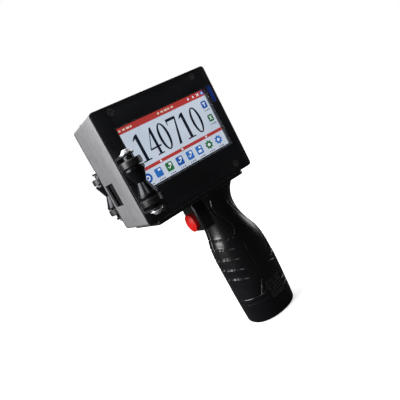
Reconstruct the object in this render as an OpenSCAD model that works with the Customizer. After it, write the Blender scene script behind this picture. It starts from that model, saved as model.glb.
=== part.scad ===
// Handheld date code printer: a flat box with a touch screen, a drop-in ink cartridge that prints
// through the left face, two guide rollers beside it, and a pistol grip closed by a battery.
// The origin is the middle of the battery's flat base. +X runs away from the print face,
// +Y away from the screen and +Z up.

/* [Box] */
// Width of the box, print face to right wall
body_w = 120; // [116:1:160]
// Height of the box
body_h = 102; // [98:1:140]
// Depth of the box over both covers
body_t = 60; // [58:1:90]
// Thickness of the front and back covers
cover_t = 2; // [1.5:0.1:3]
// Thickness of the folded walls and of the print plate
wall_t = 2; // [1.5:0.1:3]
// Corner radius of the box outline
corner_r = 3; // [1:0.5:5]
// Distance from the print face to the middle of the grip
grip_from_face = 83; // [70:1:90]

/* [Screen] */
// Width of the screen window
window_w = 97.5; // [80:0.5:98]
// Height of the screen window
window_h = 58; // [45:0.5:60]
// Distance from the print face to the window
window_left = 13.8; // [12:0.1:16]
// Distance from the top of the box to the window
window_top = 18.6; // [14:0.1:24]
// Depth of the screen glass behind the front cover
screen_depth = 3.4; // [2.5:0.1:5]
// Thickness of the touch glass
glass_t = 1; // [0.7:0.1:2]
// Thickness of the display behind the glass
lcd_t = 4; // [3:0.5:6]

/* [Data port] */
// Width of the slot beside the window
port_w = 4.8; // [4:0.1:5]
// Height of the slot
port_h = 16.4; // [12:0.1:20]
// Depth of the socket
port_depth = 13; // [8:1:16]

/* [Print head] */
// Width of the nozzle window along the direction of travel
nozzle_w = 21; // [16:0.5:24]
// Height of the nozzle window
nozzle_h = 22; // [15:0.5:24]
// Distance from the top of the box to the middle of the nozzle window
nozzle_drop = 67.5; // [60:0.5:72]
// Distance from the back of the box to the middle of the nozzle window
nozzle_from_back = 16.5; // [15:0.5:20]
// Thickness of the ink cartridge
cartridge_t = 22; // [18:0.5:23]
// Length of the ink cartridge body away from the print face
cartridge_l = 50; // [40:1:55]
// Height of the ink cartridge body
cartridge_h = 74; // [60:1:76]
// Length of the cartridge nose
nose_l = 8; // [5:0.5:10]

/* [Guide rollers] */
// Outer radius of the roller tyres
roller_r = 9.2; // [7:0.1:10.5]
// Radius of the roller waist
waist_r = 4.4; // [3.8:0.1:6]
// Length of a roller
roller_l = 46; // [40:1:56]
// Radius of the roller axle
axle_r = 2.5; // [1.5:0.1:3]
// Distance from a cover to the roller axis
roller_out = 14; // [12.5:0.5:18]
// Distance from the print face back to the roller axis
roller_in = 6.5; // [4:0.5:9]
// Distance from the top of the box to the middle of the rollers
roller_drop = 66; // [60:1:70]

/* [Grip] */
// Height of the grip from the battery base to the tray
grip_h = 139.5; // [134:0.5:160]
// Wall of the grip shells
grip_wall = 2.4; // [1.8:0.1:3]
// Thickness of the tray between the grip and the box
tray_t = 3.5; // [2.5:0.5:5]

/* [Trigger] */
// Radius of the trigger button
trigger_r = 9; // [6:0.1:9]
// Travel of the trigger button
trigger_travel = 3; // [1:0.5:3]
// Height of the trigger above the battery base
trigger_z = 120; // [118:1:122]

/* [Battery] */
// Radius of a battery cell
cell_r = 9.2; // [7:0.1:9.2]
// Length of a battery cell
cell_l = 65; // [50:1:66]
// Height of the battery cap below the grip shells
cap_h = 28; // [24:1:34]
// Travel of a battery latch
latch_travel = 1.3; // [0.8:0.1:1.4]

/* [Fits] */
// Gap between pieces that move past each other
gap = 0.3; // [0.2:0.05:0.4]
// Radial running clearance of pins and axles
run = 0.05; // [0.02:0.01:0.1]

/* [Hidden] */
$fn = 48;
eps = 0.5;                         // overrun of a cut past the face it opens
past = 40;                         // clear of the grip on every side

// Box edges
x0 = -grip_from_face;
x1 = x0 + body_w;
z0 = grip_h + tray_t;
z1 = z0 + body_h;
yf = -body_t / 2;
yb = body_t / 2;
in_f = yf + cover_t;               // inner face of the front cover
in_b = yb - cover_t;               // inner face of the back cover
in_x0 = x0 + wall_t;
in_x1 = x1 - wall_t;
in_z0 = z0 + wall_t;
in_z1 = z1 - wall_t;

// Small screws, radii and lengths
screw_r = 1.45;
screw_hole_r = 1.7;
screw_head_r = 3;
screw_head_h = 1.6;
pan_head_r = 2.6;
block_w = 8;
cover_screw_l = 9;

// Cover screws: distances from the box edges
screw_x = 17.5;
screw_x_right = 16;
screw_top = 5.5;
screw_bottom = 8;
front_screw_spots = [for (x = [x0 + screw_x, x1 - screw_x_right], z = [z0 + screw_bottom, z1 - screw_top]) [x, z]];

// Screen stack, front to back
wx0 = x0 + window_left;
wx1 = wx0 + window_w;
wz1 = z1 - window_top;
wz0 = wz1 - window_h;
frame_wall = 1;
glass_y = yf + screen_depth;
lcd_y = glass_y + glass_t;
lcd_back = lcd_y + lcd_t;
glass_lip = 2;
retainer_t = 1;

// Main board
board_t = 1.6;
board_y = lcd_back + 4.6;
board_lo = [x0 + 10, z0 + 12];
board_hi = [wx1 - 2, z1 - 5];
standoff_r = 2.4;
standoff_spots = [for (x = [x0 + 34, x0 + 84], z = [board_lo[1] + 3.2, board_hi[1] - 3.6]) [x, z]];

// Data port
port_web = 1.3;
port_x0 = wx1 + port_web;
port_z1 = wz1 + 0.6;
port_wall = 0.4;

// Print head and cartridge
nozzle_y = yb - nozzle_from_back;
nozzle_z = z1 - nozzle_drop;
nose_x = in_x0 + 1;                // tip of the cartridge nose
cart_x0 = nose_x + nose_l;
cart_x1 = cart_x0 + cartridge_l;
cart_y0 = nozzle_y - cartridge_t / 2;
cart_y1 = nozzle_y + cartridge_t / 2;
nose_side = 1;                     // nose stands in from the cartridge sides
nose_h = nozzle_h + 0.6;
cart_z0 = nozzle_z - nose_h / 2 - 7.5;
cart_z1 = cart_z0 + cartridge_h;
cart_cap_h = 5;
holder_t = 1.5;
cart_gap = 0.2;

// Cartridge door on the top wall
bay_x0 = x0 + 10;                  // the nose goes in first, under the wall left of the opening
bay_x1 = cart_x1 + 3;
bay_y0 = cart_y0 - 1;
bay_y1 = cart_y1 + 0.6;
door_t = 1.5;
door_lap = 2;
hinge_r = 1.6;
hinge_pin_r = 0.75;
hinge_y = yb - 2.9;
hinge_z = z1 + hinge_r + gap;

// Guide rollers
roller_x = x0 + roller_in;
roller_z = z1 - roller_drop;
ear_t = 1.5;
ear_r = 6;
head_r = 5.6;
dome_r = 4.3;
dome_h = 3.2;
flange_h = 0.9;
bracket_w = 13.5;
bracket_t = 1.5;
ear_z = roller_l / 2 + gap;        // inner face of an ear, from the middle of the roller

// Tray under the box
tray_x0 = x0 + 8;
tray_x1 = x1 - 10;
tray_r = 8;
tray_spots = [for (x = [tray_x0 + 19, tray_x1 - 13], y = [-14, 14]) [x, y]];
cable_hole_r = 4.5;
cable_x = 6.5;

// Grip: height, front, back and half thickness of each section
grip_rows = [
  [0, -26.6, 26.8, 22.2], [10, -27, 27.6, 22.8], [30, -27.8, 28.8, 23], [55, -28.2, 29.4, 23],
  [72, -28.4, 28.6, 22.7], [86, -27.4, 25.6, 21.4], [98, -24.6, 19.6, 19.4], [110, -23.4, 16, 18.2],
  [122, -23.4, 15.8, 17.8], [131, -24, 19.4, 18.4], [grip_h, -25, 26, 20]
];
grip_power = 2.2;                  // roundness of the section, 2 is an ellipse
grip_sides = 40;
base_r = 2.5;                      // rounded lower edge of the battery

// Trigger
house_x = -32;
house_back = -12;
house_half = 12.6;
house_z0 = trigger_z - 10;
house_r = 3;
dome_rise = 2.6;
stem_r = 3;
bore_floor = -25.6;
button_back = bore_floor - trigger_travel - 0.4;
button_front = house_x - 3.6;
stem_end = -16;

// Battery
cell_pitch = 2 * cell_r + 0.2;
cell_floor = 4;
tower_in = cell_r + 0.2;
tower_out = tower_in + 1;
tower_z = cell_floor + cell_l + 4;
tower_face = cell_pitch * sqrt(3) / 4 + tower_out;   // flat side of the tower, from the middle
latch_x = [-5.5, 13.5];
latch_z = [17, cap_h + 8];
latch_back = tower_face + gap + latch_travel;
contact_t = 1.4;

function mix(a, b, t) = a + (b - a) * t;

// Smooth curve through the section rows, one column at a time
function spline(p0, p1, p2, p3, t) =
  0.5 * (2 * p1 + (p2 - p0) * t + (2 * p0 - 5 * p1 + 4 * p2 - p3) * t * t
  + (3 * p1 - p0 - 3 * p2 + p3) * t * t * t);
function row_at(z, i = 0) = i >= len(grip_rows) - 2 || z < grip_rows[i + 1][0] ? i : row_at(z, i + 1);
function column(i, c) = grip_rows[max(0, min(len(grip_rows) - 1, i))][c];
function section(z, c) =
  let (i = row_at(z), t = (z - column(i, 0)) / (column(i + 1, 0) - column(i, 0)))
  spline(column(i - 1, c), column(i, c), column(i + 1, c), column(i + 2, c), t);

// Inset of the rounded lower edge at height z
function edge_inset(z) = z >= base_r ? 0 : base_r - sqrt(base_r * base_r - (base_r - z) * (base_r - z));

// Point of the grip section at height z and angle a, moved inwards by d
function bend(v) = sign(v) * pow(abs(v), 2 / grip_power);
function grip_point(z, a, d) =
  let (f = section(z, 1), b = section(z, 2), h = section(z, 3), r = (b - f) / 2 - d)
  [(f + b) / 2 + r * bend(cos(a)), (h - d) * bend(sin(a)), z];

function stations(za, zb, n) = [for (i = [0:n]) mix(za, zb, i / n)];

// Closed solid of the grip's outline through the given heights
module grip_solid(heights, inset = 0) {
  rings = [for (z = heights) [for (k = [0:grip_sides - 1]) grip_point(z, k * 360 / grip_sides, inset + edge_inset(z))]];
  n = grip_sides;
  top = len(heights) - 1;
  polyhedron(
    points = [for (ring = rings) for (p = ring) p],
    faces = concat(
      [[for (k = [0:n - 1]) k]],
      [[for (k = [n - 1:-1:0]) top * n + k]],
      [for (j = [0:top - 1]) for (k = [0:n - 1])
        [j * n + k, (j + 1) * n + k, (j + 1) * n + (k + 1) % n, j * n + (k + 1) % n]]
    )
  );
}

// Half of the grip's wall: side 1 is the half at +Y, -1 the half at -Y
module grip_half(side, heights) {
  m = grip_sides / 2;
  w = 2 * (m + 1);
  ring = function (z) concat(
    [for (k = [0:m]) grip_point(z, side * k * 180 / m, 0)],
    [for (k = [m:-1:0]) grip_point(z, side * k * 180 / m, grip_wall)]
  );
  top = len(heights) - 1;
  flip = function (f) side > 0 ? f : [for (i = [len(f) - 1:-1:0]) f[i]];
  polyhedron(
    points = [for (z = heights) for (p = ring(z)) p],
    faces = concat(
      [for (k = [0:m - 1]) flip([k, k + 1, w - 2 - k, w - 1 - k])],
      [for (k = [0:m - 1]) flip([top * w + w - 1 - k, top * w + w - 2 - k, top * w + k + 1, top * w + k])],
      [for (j = [0:top - 1]) for (k = [0:w - 1])
        flip([j * w + k, (j + 1) * w + k, (j + 1) * w + (k + 1) % w, j * w + (k + 1) % w])]
    )
  );
}

// Box between two corners
module span(lo, hi) {
  translate(lo) cube(hi - lo);
}

// Flat shape drawn in X and Z, from depth ya to yb2
module slab(ya, yb2) {
  translate([0, yb2, 0]) rotate([90, 0, 0]) linear_extrude(yb2 - ya) children();
}

// Round bars along each axis
module bar_y(r, ya, yb2, x, z) {
  translate([x, ya, z]) rotate([-90, 0, 0]) cylinder(r = r, h = yb2 - ya);
}
module bar_x(r, xa, xb, y, z) {
  translate([xa, y, z]) rotate([0, 90, 0]) cylinder(r = r, h = xb - xa);
}
module bar_z(r, za, zb, x, y) {
  translate([x, y, za]) cylinder(r = r, h = zb - za);
}

// Rectangle with round corners between two corners
module rounded(lo, hi, r) {
  translate([lo[0] + r, lo[1]]) square([hi[0] - lo[0] - 2 * r, hi[1] - lo[1]]);
  translate([lo[0], lo[1] + r]) square([hi[0] - lo[0], hi[1] - lo[1] - 2 * r]);
  for (x = [lo[0] + r, hi[0] - r], y = [lo[1] + r, hi[1] - r]) translate([x, y]) circle(r);
}

module box_outline() {
  rounded([x0, z0], [x1, z1], corner_r);
}

// Countersunk cover screw; dir is 1 when it is driven towards +Y
module cover_screw(face, dir, spot) {
  translate([spot[0], face, spot[1]]) rotate([-90 * dir, 0, 0]) difference() {
    union() {
      cylinder(r1 = screw_head_r, r2 = screw_r, h = screw_head_h);
      cylinder(r = screw_r, h = cover_screw_l);
    }
    translate([0, 0, -eps]) cylinder(r = 1.1, h = 1 + eps, $fn = 6);
  }
}

module cover_hole(face, dir, spot) {
  translate([spot[0], face, spot[1]]) rotate([-90 * dir, 0, 0]) {
    translate([0, 0, -eps]) cylinder(r = screw_hole_r, h = cover_t + 2 * eps);
    cylinder(r1 = screw_head_r + 0.1, r2 = screw_hole_r, h = screw_head_h - 0.2);
  }
}

// The back cover's upper left screw stands clear of the cartridge bay
back_screw_spots = [
  [x0 + screw_x, z0 + screw_bottom], [x1 - screw_x_right, z0 + screw_bottom],
  [bay_x1 + 6, z1 - screw_top], [x1 - screw_x_right, z1 - screw_top]
];

module front_cover() {
  color("#1c1d1f") difference() {
    slab(yf, in_f) difference() {
      box_outline();
      translate([wx0, wz0]) square([window_w, window_h]);
      translate([port_x0, port_z1 - port_h]) square([port_w, port_h]);
    }
    for (spot = front_screw_spots) cover_hole(yf, 1, spot);
    bracket_holes(-1);
  }
}

vent_n = 6;
vent_w = 2.2;
vent_l = 26;
vent_pitch = 5;
vent_x = x0 + 70;

module back_cover() {
  color("#1c1d1f") difference() {
    slab(in_b, yb) difference() {
      box_outline();
      for (i = [0:vent_n - 1]) translate([vent_x, z0 + 20 + i * vent_pitch]) square([vent_l, vent_w]);
    }
    for (spot = back_screw_spots) cover_hole(yb, -1, spot);
    bracket_holes(1);
  }
}

button_spot = [nozzle_y - 3, z1 - 30];
jack_spot = [nozzle_y - 3, z1 - 56];
button_hole_r = 6;
jack_hole_r = 5.5;

module housing_frame() {
  color("#202124") difference() {
    slab(in_f, in_b) difference() {
      box_outline();
      rounded([in_x0, in_z0], [in_x1, in_z1], 1);
      translate([x0 - eps, z0 - eps]) square([wall_t + eps, body_h + 2 * eps]);
    }
    span([bay_x0, bay_y0, in_z1 - eps], [bay_x1, bay_y1, z1 + eps]);
    bar_x(button_hole_r, in_x1 - eps, x1 + eps, button_spot[0], button_spot[1]);
    bar_x(jack_hole_r, in_x1 - eps, x1 + eps, jack_spot[0], jack_spot[1]);
    bar_z(cable_hole_r, z0 - eps, in_z0 + eps, cable_x, 0);
    for (p = tray_spots) bar_z(screw_hole_r, z0 - eps, in_z0 + eps, p[0], p[1]);
  }
}

module print_plate() {
  color("#b9babc") difference() {
    intersection() {
      slab(in_f, in_b) box_outline();
      span([x0, in_f, z0], [in_x0, in_b, z1]);
    }
    span(
      [x0 - eps, nozzle_y - nozzle_w / 2, nozzle_z - nozzle_h / 2],
      [in_x0 + eps, nozzle_y + nozzle_w / 2, nozzle_z + nozzle_h / 2]
    );
  }
}

// Tapped block against the nearer of the top and bottom walls
module screw_block(spot, ya, yb2) {
  low = spot[1] < (z0 + z1) / 2;
  za = low ? in_z0 : spot[1] - block_w / 2;
  zb = low ? spot[1] + block_w / 2 : in_z1;
  difference() {
    span([spot[0] - block_w / 2, ya, za], [spot[0] + block_w / 2, yb2, zb]);
    bar_y(screw_r + run, ya - eps, yb2 + eps, spot[0], spot[1]);
  }
}

module screw_blocks() {
  color("#8d8f92") {
    for (spot = front_screw_spots) screw_block(spot, in_f, in_f + block_w);
    for (spot = back_screw_spots) screw_block(spot, in_b - block_w, in_b);
  }
}

module front_cover_screws() {
  color("#2b2c2e") for (spot = front_screw_spots) cover_screw(yf, 1, spot);
}

module back_cover_screws() {
  color("#2b2c2e") for (spot = back_screw_spots) cover_screw(yb, -1, spot);
}

module screen_frame() {
  fit = 0.1;
  color("#8f949b") slab(yf, glass_y) difference() {
    translate([wx0 + fit, wz0 + fit]) square([window_w - 2 * fit, window_h - 2 * fit]);
    translate([wx0 + frame_wall, wz0 + frame_wall]) square([window_w - 2 * frame_wall, window_h - 2 * frame_wall]);
  }
}

module touch_glass() {
  color("#10141c") slab(glass_y, lcd_y)
    translate([wx0 - glass_lip, wz0 - glass_lip]) square([window_w + glass_lip, window_h + 2 * glass_lip]);
}

lcd_lo = [wx0 - 4.5, wz0 - 4];
lcd_hi = [wx1 - 0.4, wz1 + 4];

module display_panel() {
  color("#9aa0a6") slab(lcd_y, lcd_back) translate(lcd_lo) square(lcd_hi - lcd_lo);
}

// Frame that clamps the display, with four feet on the front cover
module display_retainer() {
  foot = 3;
  color("#303236") {
    slab(lcd_back, lcd_back + retainer_t) difference() {
      translate(lcd_lo - [0, foot]) square(lcd_hi - lcd_lo + [0, 2 * foot]);
      translate(lcd_lo + [6, 6]) square(lcd_hi - lcd_lo - [12, 12]);
    }
    for (x = [lcd_lo[0] + 12, lcd_hi[0] - 22], z = [lcd_lo[1] - foot, lcd_hi[1] + 0.4])
      span([x, in_f, z], [x + 8, lcd_back, z + foot - 0.4]);
  }
}

module main_board() {
  color("#1f5c3a") difference() {
    slab(board_y, board_y + board_t) translate(board_lo) square(board_hi - board_lo);
    for (p = standoff_spots) bar_y(1.2, board_y - eps, board_y + board_t + eps, p[0], p[1]);
  }
}

module board_standoffs() {
  color("#c9a24b") for (p = standoff_spots) difference() {
    bar_y(standoff_r, in_f, board_y, p[0], p[1]);
    bar_y(1.2, board_y - 6, board_y + eps, p[0], p[1]);
  }
}

// Chips and sockets on the back of the main board: place, size and height of each
chips = [
  [[48, 44], [14, 14], 1.6], [[68, 46], [11, 9], 1.2], [[28, 50], [9, 12], 1.2], [[84, 24], [12, 6], 5],
  [[30, 22], [6, 16], 6], [[62, 26], [8, 8], 3.4], [[46, 24], [8, 8], 3.4]
];

module board_chips() {
  back = board_y + board_t;
  color("#26282b") for (c = chips)
    span(
      [x0 + c[0][0], back, z0 + c[0][1]],
      [x0 + c[0][0] + c[1][0], back + c[2], z0 + c[0][1] + c[1][1]]
    );
}

module data_port_shell() {
  fit = 0.05;
  lo = [port_x0 + fit, port_z1 - port_h + fit];
  color("#55585d") difference() {
    slab(yf, yf + port_depth) translate(lo) square([port_w - 2 * fit, port_h - 2 * fit]);
    slab(yf - eps, yf + port_depth - 1) translate(lo + [port_wall, port_wall])
      square([port_w - 2 * fit - 2 * port_wall, port_h - 2 * fit - 2 * port_wall]);
  }
}

module data_port_tongue() {
  side = 0.55;
  color("#2f62d0") slab(yf + 0.7, yf + port_depth - 1)
    translate([port_x0 + side, port_z1 - port_h + side]) square([port_w - 2 * side, port_h - 2 * side]);
}

// Pocket that guides the cartridge on three sides, seated on the print plate
module cartridge_holder() {
  hx1 = cart_x1 + cart_gap + holder_t;
  hy0 = cart_y0 - cart_gap - holder_t;
  hz0 = cart_z0 - cart_gap - holder_t;
  hz1 = cart_z1 + 2;
  color("#3a3c40") {
    difference() {
      span([in_x0, hy0, hz0], [hx1, hy0 + holder_t, hz1]);
      span([in_x0 + 14, hy0 - eps, hz0 + 26], [hx1 - 10, hy0 + holder_t + eps, hz1 - 14]);
    }
    span([hx1 - holder_t, hy0, hz0], [hx1, cart_y1, hz1]);
    span([cart_x0, hy0, hz0], [hx1, cart_y1, hz0 + holder_t]);
    span([hx1 - holder_t, nozzle_y - 5, hz1 - 1], [hx1 + 8, nozzle_y + 5, hz1]);
  }
}

module ink_cartridge() {
  color("#242629") {
    slab(cart_y0, cart_y1) rounded([cart_x0, cart_z0], [cart_x1, cart_z1 - cart_cap_h], 2);
    span(
      [nose_x + 0.4, cart_y0 + nose_side, nozzle_z - nose_h / 2],
      [cart_x0 + eps, cart_y1 - nose_side, nozzle_z + nose_h / 2]
    );
  }
}

module cartridge_cap() {
  color("#2f6f8f") slab(cart_y0, cart_y1)
    rounded([cart_x0, cart_z1 - cart_cap_h], [cart_x1, cart_z1], 1.2);
}

module nozzle_plate() {
  color("#c8a24a") span([nose_x, nozzle_y - 3, nozzle_z - 7.5], [nose_x + 0.4, nozzle_y + 3, nozzle_z + 7.5]);
}

// Sprung contacts under the cartridge
module contact_block() {
  top = cart_z0 - cart_gap - holder_t;
  tall = 4;
  pin_l = 2;
  pin_pitch = 2.6;
  color("#c4b48a") {
    span([cart_x0 + 6, nozzle_y - 8, top - tall], [cart_x0 + 20, nozzle_y + 5, top]);
    for (i = [0:4]) bar_z(0.7, top - tall - pin_l, top - tall, cart_x0 + 13, nozzle_y - 6.7 + i * pin_pitch);
  }
}

latch_top = cart_z1 + 2;
latch_pin = [cart_x1 + 6, nozzle_y];

// Swinging arm that holds the cartridge down
module cartridge_latch() {
  arm_t = 2;
  color("#a8343a") difference() {
    union() {
      bar_z(4, latch_top + gap, latch_top + gap + arm_t, latch_pin[0], latch_pin[1]);
      span(
        [cart_x1 - 8, nozzle_y - 3, latch_top + gap],
        [latch_pin[0], nozzle_y + 3, latch_top + gap + arm_t]
      );
    }
    bar_z(1.5 + run, latch_top, latch_top + 2 * arm_t, latch_pin[0], latch_pin[1]);
  }
}

module latch_pivot() {
  color("#b5b7ba") {
    bar_z(1.5, latch_top, latch_top + 3, latch_pin[0], latch_pin[1]);
    bar_z(2.8, latch_top + 2.6, latch_top + 3.8, latch_pin[0], latch_pin[1]);
  }
}

door_x0 = bay_x0 - door_lap;
door_x1 = bay_x1 + door_lap;
knuckle_l = 12;

// The door carries the two outer hinge barrels, the top wall the middle one
module cartridge_door() {
  plate_z = z1 + gap;
  front = bay_y0 - door_lap;
  grip_l = 16;
  mid = (door_x0 + door_x1) / 2;
  color("#26272a") {
    span([door_x0, front, plate_z], [door_x1, hinge_y - hinge_r - gap, plate_z + door_t]);
    span([mid - grip_l / 2, front - 2, plate_z], [mid + grip_l / 2, front + eps, plate_z + door_t]);
    for (xa = [door_x0, door_x1 - knuckle_l]) difference() {
      union() {
        bar_x(hinge_r, xa, xa + knuckle_l, hinge_y, hinge_z);
        span([xa, hinge_y - hinge_r - 2 * gap, plate_z], [xa + knuckle_l, hinge_y, plate_z + door_t]);
      }
      bar_x(hinge_pin_r + run, xa - eps, xa + knuckle_l + eps, hinge_y, hinge_z);
    }
  }
}

// Pin with its fixed middle barrel, welded on the top wall
module door_hinge_pin() {
  mid = (door_x0 + door_x1) / 2;
  color("#9b9da0") {
    bar_x(hinge_pin_r, door_x0 + 1, door_x1 - 1, hinge_y, hinge_z);
    bar_x(hinge_r, mid - 10, mid + 10, hinge_y, hinge_z);
    span([mid - 10, hinge_y - 1, z1], [mid + 10, hinge_y + 1, hinge_z]);
  }
}

// Power board on four posts behind the back cover
module driver_board() {
  post_l = 4;
  lo = [bay_x1 + 8, z0 + 18];
  hi = [in_x1 - 3, z0 + 66];
  color("#1c4f7a") span([lo[0], in_b - post_l - board_t, lo[1]], [hi[0], in_b - post_l, hi[1]]);
  color("#c9a24b") for (x = [lo[0] + 4, hi[0] - 5], z = [lo[1] + 4, hi[1] - 4])
    bar_y(2.2, in_b - post_l, in_b, x, z);
}

button_r = 4.4;
button_travel = 1;

module power_button() {
  stem = 8;
  color("#2a2b2e") {
    bar_x(button_r, x1 - 3, x1 + 1.8, button_spot[0], button_spot[1]);
    bar_x(button_r + 0.8, x1 - 4, x1 - 3, button_spot[0], button_spot[1]);
    bar_x(1.6, x1 - stem, x1 - 4, button_spot[0], button_spot[1]);
  }
}

module power_button_bezel() {
  cup = 10;
  color("#8f949b") difference() {
    union() {
      bar_x(button_hole_r - 0.1, x1 - cup, x1, button_spot[0], button_spot[1]);
      bar_x(button_hole_r + 1.4, x1, x1 + 1, button_spot[0], button_spot[1]);
    }
    bar_x(button_r + 0.15, x1 - 3, x1 + 1 + eps, button_spot[0], button_spot[1]);
    bar_x(button_r + 1, x1 - 4 - button_travel - 0.2, x1 - 2.8, button_spot[0], button_spot[1]);
    bar_x(1.8, x1 - cup - eps, x1, button_spot[0], button_spot[1]);
  }
}

module charging_jack() {
  barrel = 14;
  color("#1e1f21") {
    difference() {
      union() {
        bar_x(jack_hole_r - 0.1, x1 - barrel, x1, jack_spot[0], jack_spot[1]);
        bar_x(jack_hole_r + 1.5, x1, x1 + 1.2, jack_spot[0], jack_spot[1]);
      }
      bar_x(3.1, x1 - barrel + 4, x1 + 1.2 + eps, jack_spot[0], jack_spot[1]);
    }
    bar_x(1, x1 - barrel + 3, x1 - 1, jack_spot[0], jack_spot[1]);
  }
}

bracket_screw_z = roller_l / 2 - 9;
bracket_screw_x = x0 + bracket_w - 4;

module bracket_holes(side) {
  for (s = [-1, 1])
    bar_y(1.3, side * yb - cover_t - eps, side * yb + cover_t + eps, bracket_screw_x, roller_z + s * bracket_screw_z);
}

// U bracket: side -1 stands on the front cover, 1 on the back cover
module roller_bracket(side) {
  reach = yb + roller_out;
  tall = ear_z + ear_t;
  mirror([0, side < 0 ? 1 : 0, 0]) difference() {
    union() {
      span([x0 + 0.5, yb, roller_z - tall], [x0 + bracket_w, yb + bracket_t, roller_z + tall]);
      for (s = [-1, 1]) translate([0, 0, roller_z + (s > 0 ? ear_z : -tall)]) linear_extrude(ear_t) {
        translate([roller_x - ear_r, yb]) square([2 * ear_r, roller_out]);
        translate([roller_x, reach]) circle(ear_r);
      }
    }
    bar_z(axle_r + run, roller_z - tall - eps, roller_z + tall + eps, roller_x, reach);
    for (s = [-1, 1])
      bar_y(screw_hole_r, yb - eps, yb + bracket_t + eps, bracket_screw_x, roller_z + s * bracket_screw_z);
  }
}

module front_roller_bracket() {
  color("#17181a") roller_bracket(-1);
}

module rear_roller_bracket() {
  color("#17181a") roller_bracket(1);
}

module bracket_screws() {
  face = yb + bracket_t;
  color("#3a3b3e") for (side = [-1, 1], s = [-1, 1]) mirror([0, side < 0 ? 1 : 0, 0]) difference() {
    union() {
      bar_y(1.25, yb - cover_t, face, bracket_screw_x, roller_z + s * bracket_screw_z);
      bar_y(pan_head_r, face, face + 1.5, bracket_screw_x, roller_z + s * bracket_screw_z);
    }
    bar_y(0.9, face + 0.5, face + 2, bracket_screw_x, roller_z + s * bracket_screw_z, $fn = 6);
  }
}

module axle(side) {
  end = ear_z + ear_t;
  bar_z(axle_r, roller_z - end, roller_z + end, roller_x, side * (yb + roller_out));
}

module front_axle() {
  color("#b8babd") axle(-1);
}

module rear_axle() {
  color("#b8babd") axle(1);
}

// Flanged button heads at both ends of an axle
module axle_heads(side) {
  ball = (dome_r * dome_r + dome_h * dome_h) / (2 * dome_h);
  for (s = [-1, 1])
    translate([roller_x, side * (yb + roller_out), roller_z + s * (ear_z + ear_t)])
      rotate([s > 0 ? 0 : 180, 0, 0]) difference() {
        union() {
          cylinder(r = head_r, h = flange_h);
          intersection() {
            translate([0, 0, flange_h + dome_h - ball]) sphere(ball);
            cylinder(r = dome_r, h = flange_h + dome_h);
          }
        }
        translate([0, 0, flange_h + dome_h - 2.2]) cylinder(r = 1.9, h = 3, $fn = 6);
      }
}

module front_axle_heads() {
  color("#d9dbde") axle_heads(-1);
}

module rear_axle_heads() {
  color("#d9dbde") axle_heads(1);
}

tyre_a = 13.6;                     // inner edge of a tyre, from the middle of the roller
tyre_b = 19.6;
rim_r = roller_r - 0.5;
seat_r = 6.4;
neck_r = 4.7;

// Spool outline, outwards from its middle
spool_half = [[waist_r, 0], [waist_r + 0.5, 1.2], [rim_r - 0.6, 9.8], [rim_r, 10.2], [rim_r, 12.8], [5.6, 13.1],
  [5.6, tyre_a], [seat_r, tyre_a], [seat_r, tyre_b], [neck_r, tyre_b], [neck_r, roller_l / 2]];

module spool(side) {
  n = len(spool_half) - 1;
  inner = axle_r + run;
  translate([roller_x, side * (yb + roller_out), roller_z]) rotate_extrude() polygon(concat(
    [for (i = [n:-1:1]) [spool_half[i][0], -spool_half[i][1]]],
    spool_half,
    [[inner, roller_l / 2], [inner, -roller_l / 2]]
  ));
}

module front_roller_spool() {
  color("#5a5c60") spool(-1);
}

module rear_roller_spool() {
  color("#5a5c60") spool(1);
}

module tyres(side) {
  edge = 0.8;
  for (s = [0, 1]) translate([roller_x, side * (yb + roller_out), roller_z]) mirror([0, 0, s])
    rotate_extrude() polygon([
      [seat_r, tyre_a], [roller_r - edge, tyre_a], [roller_r, tyre_a + edge],
      [roller_r, tyre_b - edge], [roller_r - edge, tyre_b], [seat_r, tyre_b]
    ]);
}

module front_roller_tyres() {
  color("#2c2d2f") tyres(-1);
}

module rear_roller_tyres() {
  color("#2c2d2f") tyres(1);
}

module grip_tray() {
  left_r = 2;
  color("#1d1e20") difference() {
    translate([0, 0, grip_h]) linear_extrude(tray_t) {
      translate([tray_x0 + left_r, yf]) square([tray_x1 - tray_x0 - left_r - tray_r, body_t]);
      translate([tray_x0, yf + left_r]) square([tray_x1 - tray_x0 - tray_r, body_t - 2 * left_r]);
      translate([tray_x0, yf + tray_r]) square([tray_x1 - tray_x0, body_t - 2 * tray_r]);
      for (s = [-1, 1]) {
        translate([tray_x0 + left_r, s * (yb - left_r)]) circle(left_r);
        translate([tray_x1 - tray_r, s * (yb - tray_r)]) circle(tray_r);
      }
    }
    bar_z(cable_hole_r, grip_h - eps, z0 + eps, cable_x, 0);
    for (p = tray_spots) bar_z(screw_r + run, z0 - 2.4, z0 + eps, p[0], p[1]);
  }
}

module tray_screws() {
  color("#3a3b3e") for (p = tray_spots) difference() {
    union() {
      bar_z(screw_r, z0 - 2.2, in_z0, p[0], p[1]);
      bar_z(pan_head_r, in_z0, in_z0 + 1.8, p[0], p[1]);
    }
    bar_z(1, in_z0 + 0.8, in_z0 + 3, p[0], p[1], $fn = 6);
  }
}

shell_z0 = cap_h + gap;
shell_heights = stations(shell_z0, grip_h, 26);

// Screws that close the grip: X and Z of each
grip_spots = [[-5, 131], [-2, 101], [23, 47], [-22.5, 47]];
post_r = 2.7;
post_end = 0.2;                    // a post stops short of the inner wall
grip_screw_r = 1.2;
grip_screw_l = 8;
grip_head_r = 2.5;
grip_head_h = 1.4;

// Inner wall of the grip at a screw
function wall_y(spot, side) =
  let (f = section(spot[1], 1), b = section(spot[1], 2), h = section(spot[1], 3) - grip_wall,
    r = (b - f) / 2 - grip_wall, u = abs(spot[0] - (f + b) / 2) + post_r)
  side * h * pow(1 - pow(min(1, u / r), grip_power), 1 / grip_power);

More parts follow.
